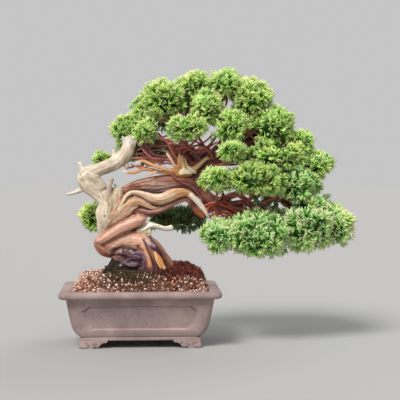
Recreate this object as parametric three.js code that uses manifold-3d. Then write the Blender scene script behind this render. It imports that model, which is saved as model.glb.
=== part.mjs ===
// A shimpaku juniper bonsai in its rectangular clay pot: living wood, bleached deadwood, pads of scale
// foliage, gritty soil, two drain screens and the pot with its four cloud feet.
// Millimetres, +Z up, the viewing front faces -Y. Everything is laid out from the pot's centre line on
// the standing surface; the last lines move the group so that its own box stands centred on the origin.
import * as THREE from 'three';
import { mergeVertices } from 'three/addons/utils/BufferGeometryUtils.js';
import Module from 'manifold-3d';

const wasm = await Module();
wasm.setup();

// Driving dimensions of the pot
const RIM_HALF_WIDTH = 114.5;
const RIM_HALF_DEPTH = 79;
const RIM_CORNER = 13;
const CORNER_LOSS = 0.25; // corner radius lost for each mm that a ring is inset
const FLOOR_TOP = 22;
const FOOT_HEIGHT = 13.2;
const FOOT_THICKNESS = 9;
const WAIST_INSET = 28.5; // inset of the foot's outer face from the rim
const PANEL_HALF_LENGTH = 78;
const PANEL_BOTTOM = 28.4;
const PANEL_TOP = 61.7;
const PANEL_SINK = 1.8;
const PANEL_CUT = 8;
const DRAIN_X = 38;
const DRAIN_RADIUS = 8;
const SCREEN_SIDE = 26;
const SCREEN_THICKNESS = 1;
const SCREEN_BARS = 1.6;
const SCREEN_HOLES = 2; // along each side

// The pot's section from its underside, up the outer wall, over the lip and down inside: [inset, height]
const POT_SECTION = [
  [29.5, 12.6], [29.0, 16.2], [30.8, 17.0], [28.3, 18.0], [23.8, 22.3], [18.6, 28.7], [13.7, 45],
  [10.8, 60], [8.8, 72.6], [1.8, 73.4], [0.2, 75.4], [0, 78.2], [1.0, 80.7], [3.2, 81.8],
  [14.6, 81.8], [16.8, 80.8], [17.6, 78.4], [18.2, 72], [22, 45], [27, 30], [31, 24], [35, FLOOR_TOP],
];
const INNER_WALL_START = 17; // first row of the section that faces the soil

// Foot outline, along the pot's face from its corner and up
const FOOT_OUTLINE = [
  [1.0, FOOT_HEIGHT], [-0.4, 6], [-0.2, 2], [1.4, 0], [17.5, 0], [20.5, 2.4], [23, 2.0], [28, 3.4],
  [34, 8.6], [37, 8.4], [39.5, FOOT_HEIGHT],
];

// Soil
const CLEARANCE = 0.3; // between pieces that touch
const SOIL_EDGE = 80.6;
const SOIL_CROWN = 24;
const SOIL_STEEPNESS = 12;
const MOUND = { x: 62, y: 6, spreadX: 26, spreadY: 30, height: 14 };

// Wood
const PAD_GAP = 0.35; // foliage to the wood it grows round
const TWIG_BASE = 2.4;
const TWIG_TIP = 1.5;

// Foliage
const CORE_SHARE = 0.66; // a pad's core against its reach
const TUFT_SHORTEST = 0.86; // tuft tips against the pad's reach
const TUFT_SPREAD = 0.24;
const SMALL_PAD_AREA = 7400; // smaller pads have fewer tufts, so that all tufts are of a size
const TUFT_LIFT = 0.12; // how far the tufts' tips lean upwards, against the reach
const PLANE_MARGIN = 0.3; // each pad keeps this far from the plane shared with its neighbour

function seededRandom(seed) {
  let state = seed >>> 0;
  return () => {
    state = (state + 0x6d2b79f5) >>> 0;
    let t = Math.imul(state ^ (state >>> 15), state | 1);
    t ^= t + Math.imul(t ^ (t >>> 7), t | 61);
    return ((t ^ (t >>> 14)) >>> 0) / 4294967296;
  };
}

// Closed geometry to solid and back
function solidFrom(geometry) {
  const bare = geometry.clone();
  bare.deleteAttribute('normal');
  bare.deleteAttribute('uv');
  const merged = mergeVertices(bare, 1e-4);
  return new wasm.Manifold(new wasm.Mesh({
    numProp: 3,
    vertProperties: Float32Array.from(merged.attributes.position.array),
    triVerts: Uint32Array.from(merged.index.array),
  }));
}

function geometryFrom(solid) {
  const { vertProperties, triVerts } = solid.getMesh();
  const geometry = new THREE.BufferGeometry();
  geometry.setAttribute('position', new THREE.BufferAttribute(Float32Array.from(vertProperties), 3));
  geometry.setIndex(new THREE.BufferAttribute(Uint32Array.from(triVerts), 1));
  geometry.computeVertexNormals();
  return geometry;
}

function joined(solids) {
  return solids.reduce((whole, solid) => whole.add(solid));
}

// The largest body of a solid, without the scraps that a cut leaves
function mainBody(solid) {
  return solid.decompose().reduce((best, body) => (body.volume() > best.volume() ? body : best));
}

// A closed skin over rings of equal length that run counter-clockwise about their direction of travel
function loftGeometry(rings, startCentre, endCentre) {
  const count = rings[0].length;
  const points = [...rings.flat(), startCentre, endCentre];
  const start = points.length - 2;
  const end = points.length - 1;
  const faces = [];
  rings.forEach((ring, row) => {
    if (row === rings.length - 1) return;
    for (let k = 0; k < count; k += 1) {
      const next = (k + 1) % count;
      const [a, b] = [row * count + k, row * count + next];
      faces.push(a, b, b + count, a, b + count, a + count);
    }
  });
  const last = (rings.length - 1) * count;
  for (let k = 0; k < count; k += 1) {
    const next = (k + 1) % count;
    faces.push(start, next, k, end, last + k, last + next);
  }
  const geometry = new THREE.BufferGeometry().setFromPoints(points);
  geometry.setIndex(faces);
  return geometry;
}

// One level ring of a rounded rectangle, counter-clockwise seen from above
function panRing(halfWidth, halfDepth, corner, z, arcSteps, longSteps, shortSteps) {
  const signs = [[1, 1], [-1, 1], [-1, -1], [1, -1]];
  const arcPoint = (index, step) => {
    const [signX, signY] = signs[index];
    const angle = (index + step / arcSteps) * Math.PI / 2;
    return new THREE.Vector3(
      signX * (halfWidth - corner) + corner * Math.cos(angle),
      signY * (halfDepth - corner) + corner * Math.sin(angle),
      z,
    );
  };
  return signs.flatMap((_, index) => {
    const arc = Array.from({ length: arcSteps + 1 }, (unused, step) => arcPoint(index, step));
    const edgeSteps = index % 2 === 0 ? longSteps : shortSteps;
    const from = arc[arcSteps];
    const to = arcPoint((index + 1) % 4, 0);
    const edge = Array.from({ length: edgeSteps - 1 }, (unused, step) => (
      from.clone().lerp(to, (step + 1) / edgeSteps)));
    return [...arc, ...edge];
  });
}

function potRing(inset, z, extra = 0, arcSteps = 3, longSteps = 1, shortSteps = 1) {
  const side = inset + extra;
  const corner = RIM_CORNER - CORNER_LOSS * inset;
  return panRing(RIM_HALF_WIDTH - side, RIM_HALF_DEPTH - side, corner, z, arcSteps, longSteps, shortSteps);
}

// One wing of a cloud foot on the face towards -Y, at the corner given by the sign of X
function footWing(signX, halfWidth, halfDepth) {
  const outline = new THREE.Shape(
    FOOT_OUTLINE.map(([along, z]) => new THREE.Vector2(signX * (halfWidth - along), z)));
  const wing = new THREE.ExtrudeGeometry(outline, { depth: FOOT_THICKNESS, bevelEnabled: false });
  wing.rotateX(Math.PI / 2);
  wing.translate(0, FOOT_THICKNESS - halfDepth, 0);
  return wing;
}

// A block with cut corners that sinks a panel into the leaning wall towards -Y
function panelTool(halfLength, wallDistance) {
  const lean = Math.atan2(7.8, 31.3);
  const halfHeight = (PANEL_TOP - PANEL_BOTTOM) / 2 / Math.cos(lean);
  const [x, y, cut] = [halfLength, halfHeight, PANEL_CUT];
  const corners = [
    [x, y - cut], [x - cut, y], [cut - x, y], [-x, y - cut], [-x, cut - y], [cut - x, -y], [x - cut, -y],
    [x, cut - y],
  ];
  const outline = new THREE.Shape(corners.map(([u, v]) => new THREE.Vector2(u, v)));
  const block = new THREE.ExtrudeGeometry(outline, { depth: 12, bevelEnabled: false });
  const out = new THREE.Vector3(0, -Math.cos(lean), -Math.sin(lean));
  const up = new THREE.Vector3(0, -Math.sin(lean), Math.cos(lean));
  const middle = new THREE.Vector3(0, -wallDistance, (PANEL_TOP + PANEL_BOTTOM) / 2);
  const place = new THREE.Matrix4().makeBasis(new THREE.Vector3(1, 0, 0), up, out);
  place.setPosition(middle.addScaledVector(out, -PANEL_SINK));
  return block.applyMatrix4(place);
}

function potSolid() {
  const rings = POT_SECTION.map(([inset, z]) => potRing(inset, z));
  const centre = (z) => new THREE.Vector3(0, 0, z);
  let pot = solidFrom(loftGeometry(rings, centre(POT_SECTION[0][1]), centre(FLOOR_TOP)));
  const halfWidth = RIM_HALF_WIDTH - WAIST_INSET;
  const halfDepth = RIM_HALF_DEPTH - WAIST_INSET;
  [0, Math.PI].forEach((turn) => {
    [1, -1].forEach((sign) => {
      pot = pot.add(solidFrom(footWing(sign, halfWidth, halfDepth).rotateZ(turn)));
      pot = pot.add(solidFrom(footWing(sign, halfDepth, halfWidth).rotateZ(turn + Math.PI / 2)));
    });
    const middleInset = 14.7;
    const panels = [
      panelTool(PANEL_HALF_LENGTH, RIM_HALF_DEPTH - middleInset).rotateZ(turn),
      panelTool(PANEL_HALF_LENGTH - RIM_HALF_WIDTH + RIM_HALF_DEPTH, RIM_HALF_WIDTH - middleInset)
        .rotateZ(turn + Math.PI / 2),
    ];
    panels.forEach((panel) => {
      pot = pot.subtract(solidFrom(panel));
    });
  });
  [DRAIN_X, -DRAIN_X].forEach((x) => {
    const hole = new THREE.CylinderGeometry(DRAIN_RADIUS, DRAIN_RADIUS, 30, 16).rotateX(Math.PI / 2);
    pot = pot.subtract(solidFrom(hole.translate(x, 0, FLOOR_TOP - 5)));
  });
  return pot;
}

// A plastic screen with a grid of square holes, lying over a drain hole
function screenSolid(x) {
  const slab = (side, height) => new THREE.BoxGeometry(side, side, height);
  const pitch = (SCREEN_SIDE - SCREEN_BARS) / SCREEN_HOLES;
  let screen = solidFrom(slab(SCREEN_SIDE, SCREEN_THICKNESS));
  for (let cell = 0; cell < SCREEN_HOLES ** 2; cell += 1) {
    const [column, row] = [cell % SCREEN_HOLES, Math.floor(cell / SCREEN_HOLES)];
    const [offsetX, offsetY] = [column, row].map((place) => (place - (SCREEN_HOLES - 1) / 2) * pitch);
    const hole = slab(pitch - SCREEN_BARS, 2 * SCREEN_THICKNESS).translate(offsetX, offsetY, 0);
    screen = screen.subtract(solidFrom(hole));
  }
  return screen.translate([x, 0, FLOOR_TOP + CLEARANCE + SCREEN_THICKNESS / 2]);
}

// Height of the soil: a dome that is steep at the lip, with a heap on the right and a coarse grain
function soilHeight(x, y, scale, random) {
  const dome = 1 - scale ** SOIL_STEEPNESS;
  const heap = Math.exp(-(((x - MOUND.x) / MOUND.spreadX) ** 2) - (((y - MOUND.y) / MOUND.spreadY) ** 2));
  const waves = Math.sin(0.21 * x + 0.4) * Math.sin(0.17 * y) + Math.sin(0.11 * x - 0.13 * y);
  return SOIL_EDGE + dome * (SOIL_CROWN + MOUND.height * heap + waves) + dome * (random() - 0.5) * 3;
}

function soilSolid() {
  const random = seededRandom(7);
  const steps = [2, 5, 3];
  const wall = POT_SECTION.slice(INNER_WALL_START - 1).reverse();
  const rings = wall.map(([inset, z]) => (
    potRing(inset, z === FLOOR_TOP ? z + CLEARANCE : z, CLEARANCE, ...steps)));
  const edge = rings[rings.length - 1];
  const levels = 9;
  for (let level = 0; level < levels; level += 1) {
    const scale = 1 - (level / levels) ** 1.25;
    rings.push(edge.map((point) => {
      const [x, y] = [point.x * scale, point.y * scale];
      return new THREE.Vector3(x, y, level === 0 ? SOIL_EDGE : soilHeight(x, y, scale, random));
    }));
  }
  const bottom = new THREE.Vector3(0, 0, FLOOR_TOP + CLEARANCE);
  const top = new THREE.Vector3(0, 0, soilHeight(0, 0, 0, random));
  let soil = solidFrom(loftGeometry(rings, bottom, top));
  [DRAIN_X, -DRAIN_X].forEach((x) => {
    const side = SCREEN_SIDE + 2 * CLEARANCE;
    const height = SCREEN_THICKNESS + 4 * CLEARANCE;
    const pocket = new THREE.BoxGeometry(side, side, height).translate(x, 0, FLOOR_TOP + height / 2);
    soil = soil.subtract(solidFrom(pocket));
  });
  return soil;
}

// A tapering stem along a route of [x, y, z, radius, radius in depth]. Ridges run along it and may twist;
// grow fattens it on all sides, to cut room for it in a neighbour.
function limbGeometry(route, options, grow = 0) {
  const { sides = 7, step = 8, ridges = 0, ridgeDepth = 0, twist = 0, phase = 0 } = options;
  const curve = new THREE.CatmullRomCurve3(route.map(([x, y, z]) => new THREE.Vector3(x, y, z)));
  const rows = Math.max(2, Math.round(curve.getLength() / step));
  const depthAxis = new THREE.Vector3(0, 1, 0);
  const rings = [];
  let [startCentre, endCentre] = [null, null];
  for (let row = 0; row <= rows; row += 1) {
    const u = row / rows;
    const at = curve.getPointAt(u);
    const along = curve.getTangentAt(u);
    depthAxis.addScaledVector(along, -along.dot(depthAxis)).normalize();
    const side = depthAxis.clone().cross(along);
    const station = curve.getUtoTmapping(u) * (route.length - 1);
    const before = Math.min(route.length - 2, Math.floor(station));
    const mix = station - before;
    const radiusAt = (column) => {
      const first = route[before][column] ?? route[before][3];
      const second = route[before + 1][column] ?? route[before + 1][3];
      return first + (second - first) * mix + grow;
    };
    const [across, deep] = [radiusAt(3), radiusAt(4)];
    rings.push(Array.from({ length: sides }, (unused, k) => {
      const angle = (k / sides) * 2 * Math.PI;
      const swell = 1 + ridgeDepth * Math.cos(ridges * (angle + phase + twist * u));
      return at.clone()
        .addScaledVector(side, across * swell * Math.cos(angle))
        .addScaledVector(depthAxis, deep * swell * Math.sin(angle));
    }));
    if (row === 0) startCentre = at.clone().addScaledVector(along, -0.5 * across);
    if (row === rows) endCentre = at.clone().addScaledVector(along, 0.5 * across);
  }
  return loftGeometry(rings, startCentre, endCentre);
}

// The living trunk and its thick living veins
const TRUNK = [
  { route: [[0, 5, 78, 36, 28], [-3, 2, 100, 33, 27], [-9, 0, 125, 28, 25], [-19, -2, 141, 22, 21],
    [-38, -3, 145, 18, 18], [-53, -1, 145, 14, 15], [-62, -3, 147, 8]],
  sides: 12, step: 13, ridges: 4, ridgeDepth: 0.06, twist: 1.2 },
  { route: [[-63, -5, 148, 5], [-56, -12, 151, 8.5], [-42, -18, 159, 8], [-22, -20, 170, 8], [-2, -17, 179, 8],
    [9, -12, 187, 8.5]], sides: 7, step: 13 },
  { route: [[-6, -14, 180, 4.5], [4, -13, 187, 8], [16, -12, 194, 8.5], [28, -12, 197, 7], [42, -12, 202, 6],
    [58, -12, 209, 5.5], [70, -12, 211, 5.5], [80, -11, 201, 6.5], [90, -9, 190, 7], [99, -9, 187, 6]],
  sides: 7, step: 13 },
  { route: [[-24, 14, 128, 17, 15], [-38, 15, 152, 14], [-44, 14, 176, 12.5], [-40, 11, 198, 11],
    [-28, 6, 215, 9.5], [-12, 0, 226, 9.5], [5, -2, 231, 10.5], [24, -3, 232, 12], [41, -3, 234.5, 11.5],
    [59, -3, 236, 11], [75, -2, 233, 11], [88, -3, 224, 10], [100, -4, 213, 9], [113, -6, 206, 8],
    [130, -8, 203, 6.5], [150, -10, 200, 5]],
  sides: 8, step: 15, ridges: 3, ridgeDepth: 0.06, twist: 3 },
  { route: [[-30, -6, 130, 16], [-8, -16, 118, 20, 15], [6, -13, 98, 19]], sides: 8, step: 14 },
];

// Roots that straddle the soil, on all sides of the trunk
const ROOTS = [
  [[8, -4, 153, 13], [26, -6, 141, 10.5], [38, -8, 128, 9], [48, -8, 115, 8], [56, -8, 98, 7]],
  [[4, -14, 142, 11], [14, -19, 122, 9.5], [21, -22, 98, 8.5]],
  [[-20, -8, 120, 18], [-33, -12, 104, 15], [-42, -14, 88, 12]],
  [[-12, 14, 118, 13], [-27, 24, 102, 10.5], [-36, 30, 84, 9]],
  [[10, 12, 124, 13], [25, 23, 102, 10], [34, 30, 84, 8.5]],
];

// Limbs and branches of the crown, from the apex round to the lowest right-hand sweep
const LIMBS = [
  [[75, -2, 236, 9], [88, 2, 250, 8.5], [92, 2, 262, 8], [83, 0, 275, 7], [68, -2, 288, 6], [60, 0, 302, 5.5],
    [64, 2, 322, 5], [74, 2, 342, 4], [82, 0, 358, 3]],
  [[88, 0, 246, 7.5], [105, -2, 262, 6.5], [125, -4, 268, 6], [150, -6, 272, 5], [178, -6, 277, 4],
    [205, -6, 282, 3.2]],
  [[92, -10, 192, 6], [106, -13, 199, 6], [128, -16, 194, 5.5], [145, -18, 188, 5], [165, -20, 184, 4.2],
    [192, -18, 184, 3.4]],
  [[128, -12, 203, 4], [150, -20, 207, 3.2], [166, -22, 200, 3], [184, -20, 207, 3], [203, -18, 213, 2.8],
    [218, -16, 204, 2.5]],
  [[86, -4, 262, 5], [60, -12, 262, 4], [50, -15, 274, 3.4], [38, -16, 296, 3], [26, -15, 304, 2.8]],
  [[70, -12, 264, 4], [36, -20, 270, 3], [17, -22, 273, 2.8], [6, -18, 284, 2.5]],
  [[90, 2, 262, 5.5], [108, -12, 283, 3.6], [118, -22, 297, 3]],
  [[96, 0, 262, 5.5], [125, -4, 282, 4], [154, -6, 291, 3.4], [178, -10, 303, 3]],
  [[84, 4, 266, 6], [72, 18, 282, 4.5], [46, 32, 290, 3.4], [26, 40, 308, 2.8]],
  [[-36, 14, 190, 6], [-46, 26, 214, 4], [-52, 36, 244, 2.8]],
  [[-42, 18, 166, 6], [-56, 30, 172, 3.4]],
  [[96, 2, 208, 6], [92, 22, 196, 4.5], [76, 42, 186, 3.2]],
  [[112, -2, 206, 6], [132, 18, 214, 5], [160, 36, 220, 4], [190, 46, 222, 3]],
  [[130, 18, 210, 4.5], [146, 36, 192, 3.2]],
  [[108, 0, 264, 6], [130, 20, 280, 4.5], [158, 36, 294, 3.4]],
];

// Bleached deadwood. The first set is one piece from the wound in the trunk to its broken top.
const OLD_JIN = [
  { route: [[-58, -10, 157, 3], [-56, -10, 166, 7], [-52, -9, 178, 11], [-48, -7, 190, 14, 12],
    [-47, -4, 202, 13.5, 12], [-53, -1, 213, 13, 12], [-63, 0, 222, 12], [-75, 0, 231, 12.5],
    [-80, 1, 241, 12], [-74, 2, 250, 10.5], [-62, 2, 253, 9.5], [-45, 1, 259, 9.8], [-32, 0, 266, 10],
    [-21, 0, 279, 8.4], [-16, 0, 292, 7.8], [-14, 0, 303, 8.5]],
  sides: 8, step: 10, ridges: 3, ridgeDepth: 0.09, twist: 3 },
  { route: [[-44, -6, 195, 11, 9], [-34, -6, 212, 8, 7], [-31, -6, 225, 5]], sides: 8, step: 7 },
  { route: [[-31, -6, 220, 4], [-34, -7, 228, 2.4], [-38, -7, 234, 1]], sides: 5, step: 6 },
  { route: [[-46, -12, 203, 5], [-46, -16, 220, 4.2], [-44, -16, 232, 4], [-41, -16, 241, 3.4]],
    sides: 7, step: 6 },
  { route: [[-84, 0, 229, 6], [-96, -2, 223, 2.8], [-108, -4, 219, 1.2]], sides: 6, step: 6 },
  { route: [[-82, 0, 247, 6], [-88, 0, 257, 3], [-92, 0, 265, 1.2]], sides: 6, step: 6 },
  { route: [[-86, 0, 252, 3], [-83, 0, 261, 1.8], [-84, 0, 267, 0.9]], sides: 5, step: 5 },
  { route: [[-38, 0, 262, 6], [-41, 0, 274, 3.8], [-42, 0, 284, 3]], sides: 6, step: 6 },
  { route: [[-26, 0, 270, 6], [-20, -2, 260, 3.4], [-19, -2, 255, 2]], sides: 6, step: 5 },
  { route: [[-16, 0, 298, 6], [-20, 0, 310, 3.4], [-23, 0, 315, 1.4]], sides: 6, step: 5 },
  { route: [[-14, 0, 300, 6], [-9, 0, 311, 3.6], [-7, -1, 318, 1.8]], sides: 6, step: 5 },
  { route: [[-46, -10, 190, 12, 8], [-32, -13, 201, 12.5, 7], [-20, -14, 210, 13, 6], [-2, -15, 212, 11.5, 5.5],
    [14, -15, 208, 10, 5], [28, -15, 207, 9.6, 5], [42, -15, 213, 8.8, 5], [57, -15, 220, 7.8, 4.6],
    [72, -15, 218, 7, 4.2], [82, -15, 208, 5.6, 4], [93, -15, 195, 4.8, 3.2], [101, -15, 184, 2.4, 2]],
  sides: 7, step: 10, ridges: 3, ridgeDepth: 0.12, twist: 1 },
];

// Torn, honey-coloured jins at the foot of the crown, all from one hub
const CROWN_JIN = [
  { route: [[56, -9, 246, 6], [66, -9, 250, 8], [76, -9, 251, 5]], sides: 8, step: 5 },
  { route: [[60, -9, 249, 4.4], [38, -11, 251, 3], [15, -11, 254, 2.6], [-2, -11, 250, 2.2],
    [-24, -12, 252, 1.5]], sides: 5, step: 14 },
  { route: [[58, -10, 252, 4], [36, -14, 255, 2.8], [17, -15, 262, 2.4], [-4, -16, 265, 1.5]], sides: 5, step: 14 },
  { route: [[60, -8, 252, 4], [49, -12, 262, 2.8], [40, -14, 278, 1.6]], sides: 5, step: 13 },
  { route: [[66, -9, 250, 5], [60, -12, 266, 3.4], [57, -14, 278, 1.8]], sides: 5, step: 13 },
  { route: [[70, -9, 250, 6], [84, -12, 258, 3.4], [100, -14, 272, 1.6]], sides: 5, step: 13 },
];

const STUB_JIN = [
  { route: [[-2, -9, 160, 8, 6], [8, -9, 169, 6.5, 5], [15, -9, 173, 4.6, 4], [25, -9, 172.5, 3.4],
    [36, -9, 170.5, 3.2], [46, -9, 171.5, 3.6]], sides: 7, step: 6 },
  { route: [[12, -9, 170, 5, 4], [16, -9, 164, 4], [17, -9, 158, 2]], sides: 6, step: 6 },
];

const SPLINTER = [{ route: [[19, -15, 134, 2.6], [28, -19, 119, 4.2], [37, -21, 104, 3.4]], sides: 6, step: 6 }];

// Foliage pads: centre, half-size to the sprig tips, in X, Y and Z
const PADS = {
  left_shoulder: [[-14, 30, 308], [38, 26, 30]],
  left_front: [[10, -22, 301], [20, 17, 20]],
  crown_left: [[24, -10, 357], [41, 38, 33]],
  apex_left: [[81, 0, 378], [28, 32, 24]],
  upper_middle: [[98, -30, 345], [25, 26, 26]],
  apex_right: [[127, -5, 378], [31, 34, 25]],
  upper_right: [[165, -8, 360], [35, 38, 33]],
  centre: [[66, -48, 315], [33, 26, 20]],
  centre_right: [[132, -42, 318], [26, 28, 25]],
  right_shoulder: [[193, -18, 321], [41, 38, 32]],
  outer_right: [[240, -8, 297], [26, 32, 23]],
  right_end: [[257, -5, 261], [31, 38, 23]],
  inner: [[131, -56, 280], [23, 22, 17]],
  inner_right: [[196, -42, 275], [45, 32, 25]],
  middle_left: [[110, -52, 240], [29, 26, 18]],
  middle: [[167, -58, 243], [44, 32, 27]],
  middle_right: [[230, -38, 235], [37, 36, 28]],
  low_left: [[111, -45, 157], [33, 32, 26]],
  low_middle: [[168, -50, 160], [51, 42, 36]],
  low_right: [[238, -28, 176], [48, 46, 44]],
  low_right_end: [[287, -5, 179], [37, 42, 38]],
  back_left_small: [[-59, 45, 273], [19, 20, 13]],
  back_left_low: [[-76, 45, 187], [19, 26, 26]],
  back_low: [[57, 55, 180], [46, 30, 21]],
  back_middle: [[12, 50, 281], [40, 28, 20]],
  back_crown: [[90, 42, 353], [38, 34, 26]],
  back_right: [[184, 45, 304], [54, 38, 40]],
  back_low_right: [[218, 48, 226], [60, 38, 34]],
  back_top_left: [[12, 45, 338], [42, 32, 28]],
  back_far_right: [[173, 46, 170], [51, 36, 29]],
};

// The plane that parts two neighbouring pads, set by how far each reaches towards the other
function partingPlanes(name) {
  const [home, reach] = PADS[name].map((triple) => new THREE.Vector3(...triple));
  return Object.keys(PADS).filter((other) => other !== name).map((other) => {
    const [away, otherReach] = PADS[other].map((triple) => new THREE.Vector3(...triple));
    const normal = away.clone().sub(home);
    const distance = normal.length();
    normal.normalize();
    const own = reach.clone().multiply(normal).length();
    const theirs = otherReach.clone().multiply(normal).length();
    return { normal, limit: Math.min(own, distance * own / (own + theirs)) - PLANE_MARGIN };
  });
}

// How much of the way from the pad's centre to a point stays on its side of every plane
function shareInside(planes, point) {
  return planes.reduce((share, { normal, limit }) => (
    point.dot(normal) > limit ? Math.min(share, limit / point.dot(normal)) : share), 1);
}

// A pad: a lumpy core, smaller than the pad, with every face drawn out into a pointed tuft of sprigs
function padSolid(name, index) {
  const random = seededRandom(100 + index);
  const [centre, reach] = PADS[name].map((triple) => new THREE.Vector3(...triple));
  const planes = partingPlanes(name);
  const pulledIn = (point) => point.multiplyScalar(shareInside(planes, point));
  const area = 4 * Math.PI * (reach.x * reach.y + reach.y * reach.z + reach.x * reach.z) / 3;
  const ball = stripped(
    area < SMALL_PAD_AREA ? new THREE.OctahedronGeometry(1, 1) : new THREE.IcosahedronGeometry(1, 1));
  const core = mergeVertices(ball.rotateX(random() * Math.PI).rotateZ(random() * Math.PI), 1e-3);
  const place = core.attributes.position;
  const points = Array.from({ length: place.count }, (unused, k) => {
    const point = new THREE.Vector3().fromBufferAttribute(place, k).multiply(reach);
    return pulledIn(point.multiplyScalar(CORE_SHARE * (0.9 + 0.2 * random())));
  });
  const faces = [];
  for (let k = 0; k < core.index.count; k += 3) {
    const [a, b, c] = [0, 1, 2].map((offset) => core.index.getX(k + offset));
    const middle = points[a].clone().add(points[b]).add(points[c]).divideScalar(3);
    const tip = middle.clone().divide(reach).normalize().multiply(reach);
    tip.multiplyScalar(TUFT_SHORTEST + TUFT_SPREAD * random());
    tip.z += TUFT_LIFT * reach.z * (0.5 + random());
    points.push(pulledIn(tip));
    const top = points.length - 1;
    faces.push(a, b, top, b, c, top, c, a, top);
  }
  const geometry = new THREE.BufferGeometry().setFromPoints(points);
  geometry.setIndex(faces);
  return solidFrom(geometry).translate(centre.toArray());
}

function stripped(geometry) {
  geometry.deleteAttribute('normal');
  geometry.deleteAttribute('uv');
  return geometry;
}

// The twig that carries a pad, from the nearest limb, bowed a little downwards
function twigRoute(name) {
  const centre = new THREE.Vector3(...PADS[name][0]);
  const target = centre.clone().setZ(centre.z - 0.25 * PADS[name][1][2]);
  let nearest = null;
  LIMBS.forEach((route) => {
    const curve = new THREE.CatmullRomCurve3(route.map(([x, y, z]) => new THREE.Vector3(x, y, z)));
    curve.getSpacedPoints(24).forEach((point) => {
      if (!nearest || point.distanceTo(target) < nearest.distanceTo(target)) nearest = point;
    });
  });
  const middle = nearest.clone().lerp(target, 0.5);
  middle.z -= 0.08 * nearest.distanceTo(target);
  return [
    [...nearest.toArray(), TWIG_BASE],
    [...middle.toArray(), (TWIG_BASE + TWIG_TIP) / 2],
    [...target.toArray(), TWIG_TIP],
  ];
}

function limbSolids(limbs, grow = 0) {
  return limbs.map(({ route, ...options }) => solidFrom(limbGeometry(route, options, grow)));
}

const LIVE_LIMBS = [
  ...TRUNK,
  ...ROOTS.map((route, index) => ({ route, sides: 6, step: 14 })),
  ...LIMBS.map((route) => ({ route, sides: 5, step: 24 })),
  ...Object.keys(PADS).map((name) => ({ route: twigRoute(name), sides: 3, step: 40 })),
];

const FINISH = {
  clay: { color: 0x9c8a86, roughness: 0.85 },
  grit: { color: 0x7a5547, roughness: 0.95 },
  screen: { color: 0x2a2a2c, roughness: 0.6 },
  bark: { color: 0x8f5639, roughness: 0.55 },
  bleached: { color: 0xd9cdb2, roughness: 0.75 },
  honey: { color: 0xd3a06a, roughness: 0.7 },
  heartwood: { color: 0xe09a45, roughness: 0.6 },
  foliage: { color: 0x74a844, roughness: 0.6 },
};

const bonsai = new THREE.Group();

function addPiece(name, geometry, finish) {
  const material = new THREE.MeshStandardMaterial({ metalness: 0, ...FINISH[finish] });
  const piece = new THREE.Mesh(geometry, material);
  piece.name = name;
  bonsai.add(piece);
}

const deadSets = {
  deadwood: [OLD_JIN, 'bleached'],
  crown_jin: [CROWN_JIN, 'honey'],
  stub_jin: [STUB_JIN, 'bleached'],
  heartwood_splinter: [SPLINTER, 'heartwood'],
};
const deadSpace = joined(Object.values(deadSets).flatMap(([limbs]) => limbSolids(limbs, CLEARANCE)));
const liveWood = mainBody(joined(limbSolids(LIVE_LIMBS)).subtract(deadSpace));
const woodSpace = joined(limbSolids(LIVE_LIMBS, CLEARANCE)).add(deadSpace);
const padSpace = joined(limbSolids(LIVE_LIMBS, PAD_GAP)).add(deadSpace);

addPiece('pot', geometryFrom(potSolid()), 'clay');
addPiece('soil', geometryFrom(mainBody(soilSolid().subtract(woodSpace))), 'grit');
addPiece('drain_screen_left', geometryFrom(screenSolid(-DRAIN_X)), 'screen');
addPiece('drain_screen_right', geometryFrom(screenSolid(DRAIN_X)), 'screen');
addPiece('live_wood', geometryFrom(liveWood), 'bark');
Object.entries(deadSets).forEach(([name, [limbs, finish]]) => {
  addPiece(name, geometryFrom(mainBody(joined(limbSolids(limbs)))), finish);
});
Object.keys(PADS).forEach((name, index) => {
  addPiece(`foliage_${name}`, geometryFrom(mainBody(padSolid(name, index).subtract(padSpace))), 'foliage');
});

const box = new THREE.Box3().setFromObject(bonsai);
bonsai.position.set(-(box.min.x + box.max.x) / 2, -(box.min.y + box.max.y) / 2, -box.min.z);

export default bonsai;
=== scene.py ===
import math
import random
import bpy
import numpy as np
from mathutils import Matrix, Vector, noise


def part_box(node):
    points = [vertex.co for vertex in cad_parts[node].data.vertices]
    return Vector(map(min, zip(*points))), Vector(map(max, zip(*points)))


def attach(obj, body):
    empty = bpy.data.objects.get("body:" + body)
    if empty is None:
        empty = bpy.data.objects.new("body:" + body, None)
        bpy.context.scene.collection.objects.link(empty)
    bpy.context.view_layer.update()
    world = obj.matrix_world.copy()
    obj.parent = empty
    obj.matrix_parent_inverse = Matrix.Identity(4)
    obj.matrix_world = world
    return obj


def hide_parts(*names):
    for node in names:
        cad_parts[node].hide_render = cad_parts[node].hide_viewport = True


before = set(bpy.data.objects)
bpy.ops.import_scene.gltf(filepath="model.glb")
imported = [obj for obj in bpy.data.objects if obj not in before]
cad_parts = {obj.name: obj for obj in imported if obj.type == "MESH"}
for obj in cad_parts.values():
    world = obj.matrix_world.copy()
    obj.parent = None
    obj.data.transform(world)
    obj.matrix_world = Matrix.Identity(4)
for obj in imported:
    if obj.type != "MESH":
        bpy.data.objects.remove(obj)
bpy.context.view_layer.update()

# Everything below is laid out in millimetres from the pot's centre line on the standing surface
potLow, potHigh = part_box("pot")
home = np.array([(potLow.x + potHigh.x) / 2, (potLow.y + potHigh.y) / 2, 0.0])


def inMetres(points):
    return np.asarray(points, float) / 1000 + home


# Camera, light and floor

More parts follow.
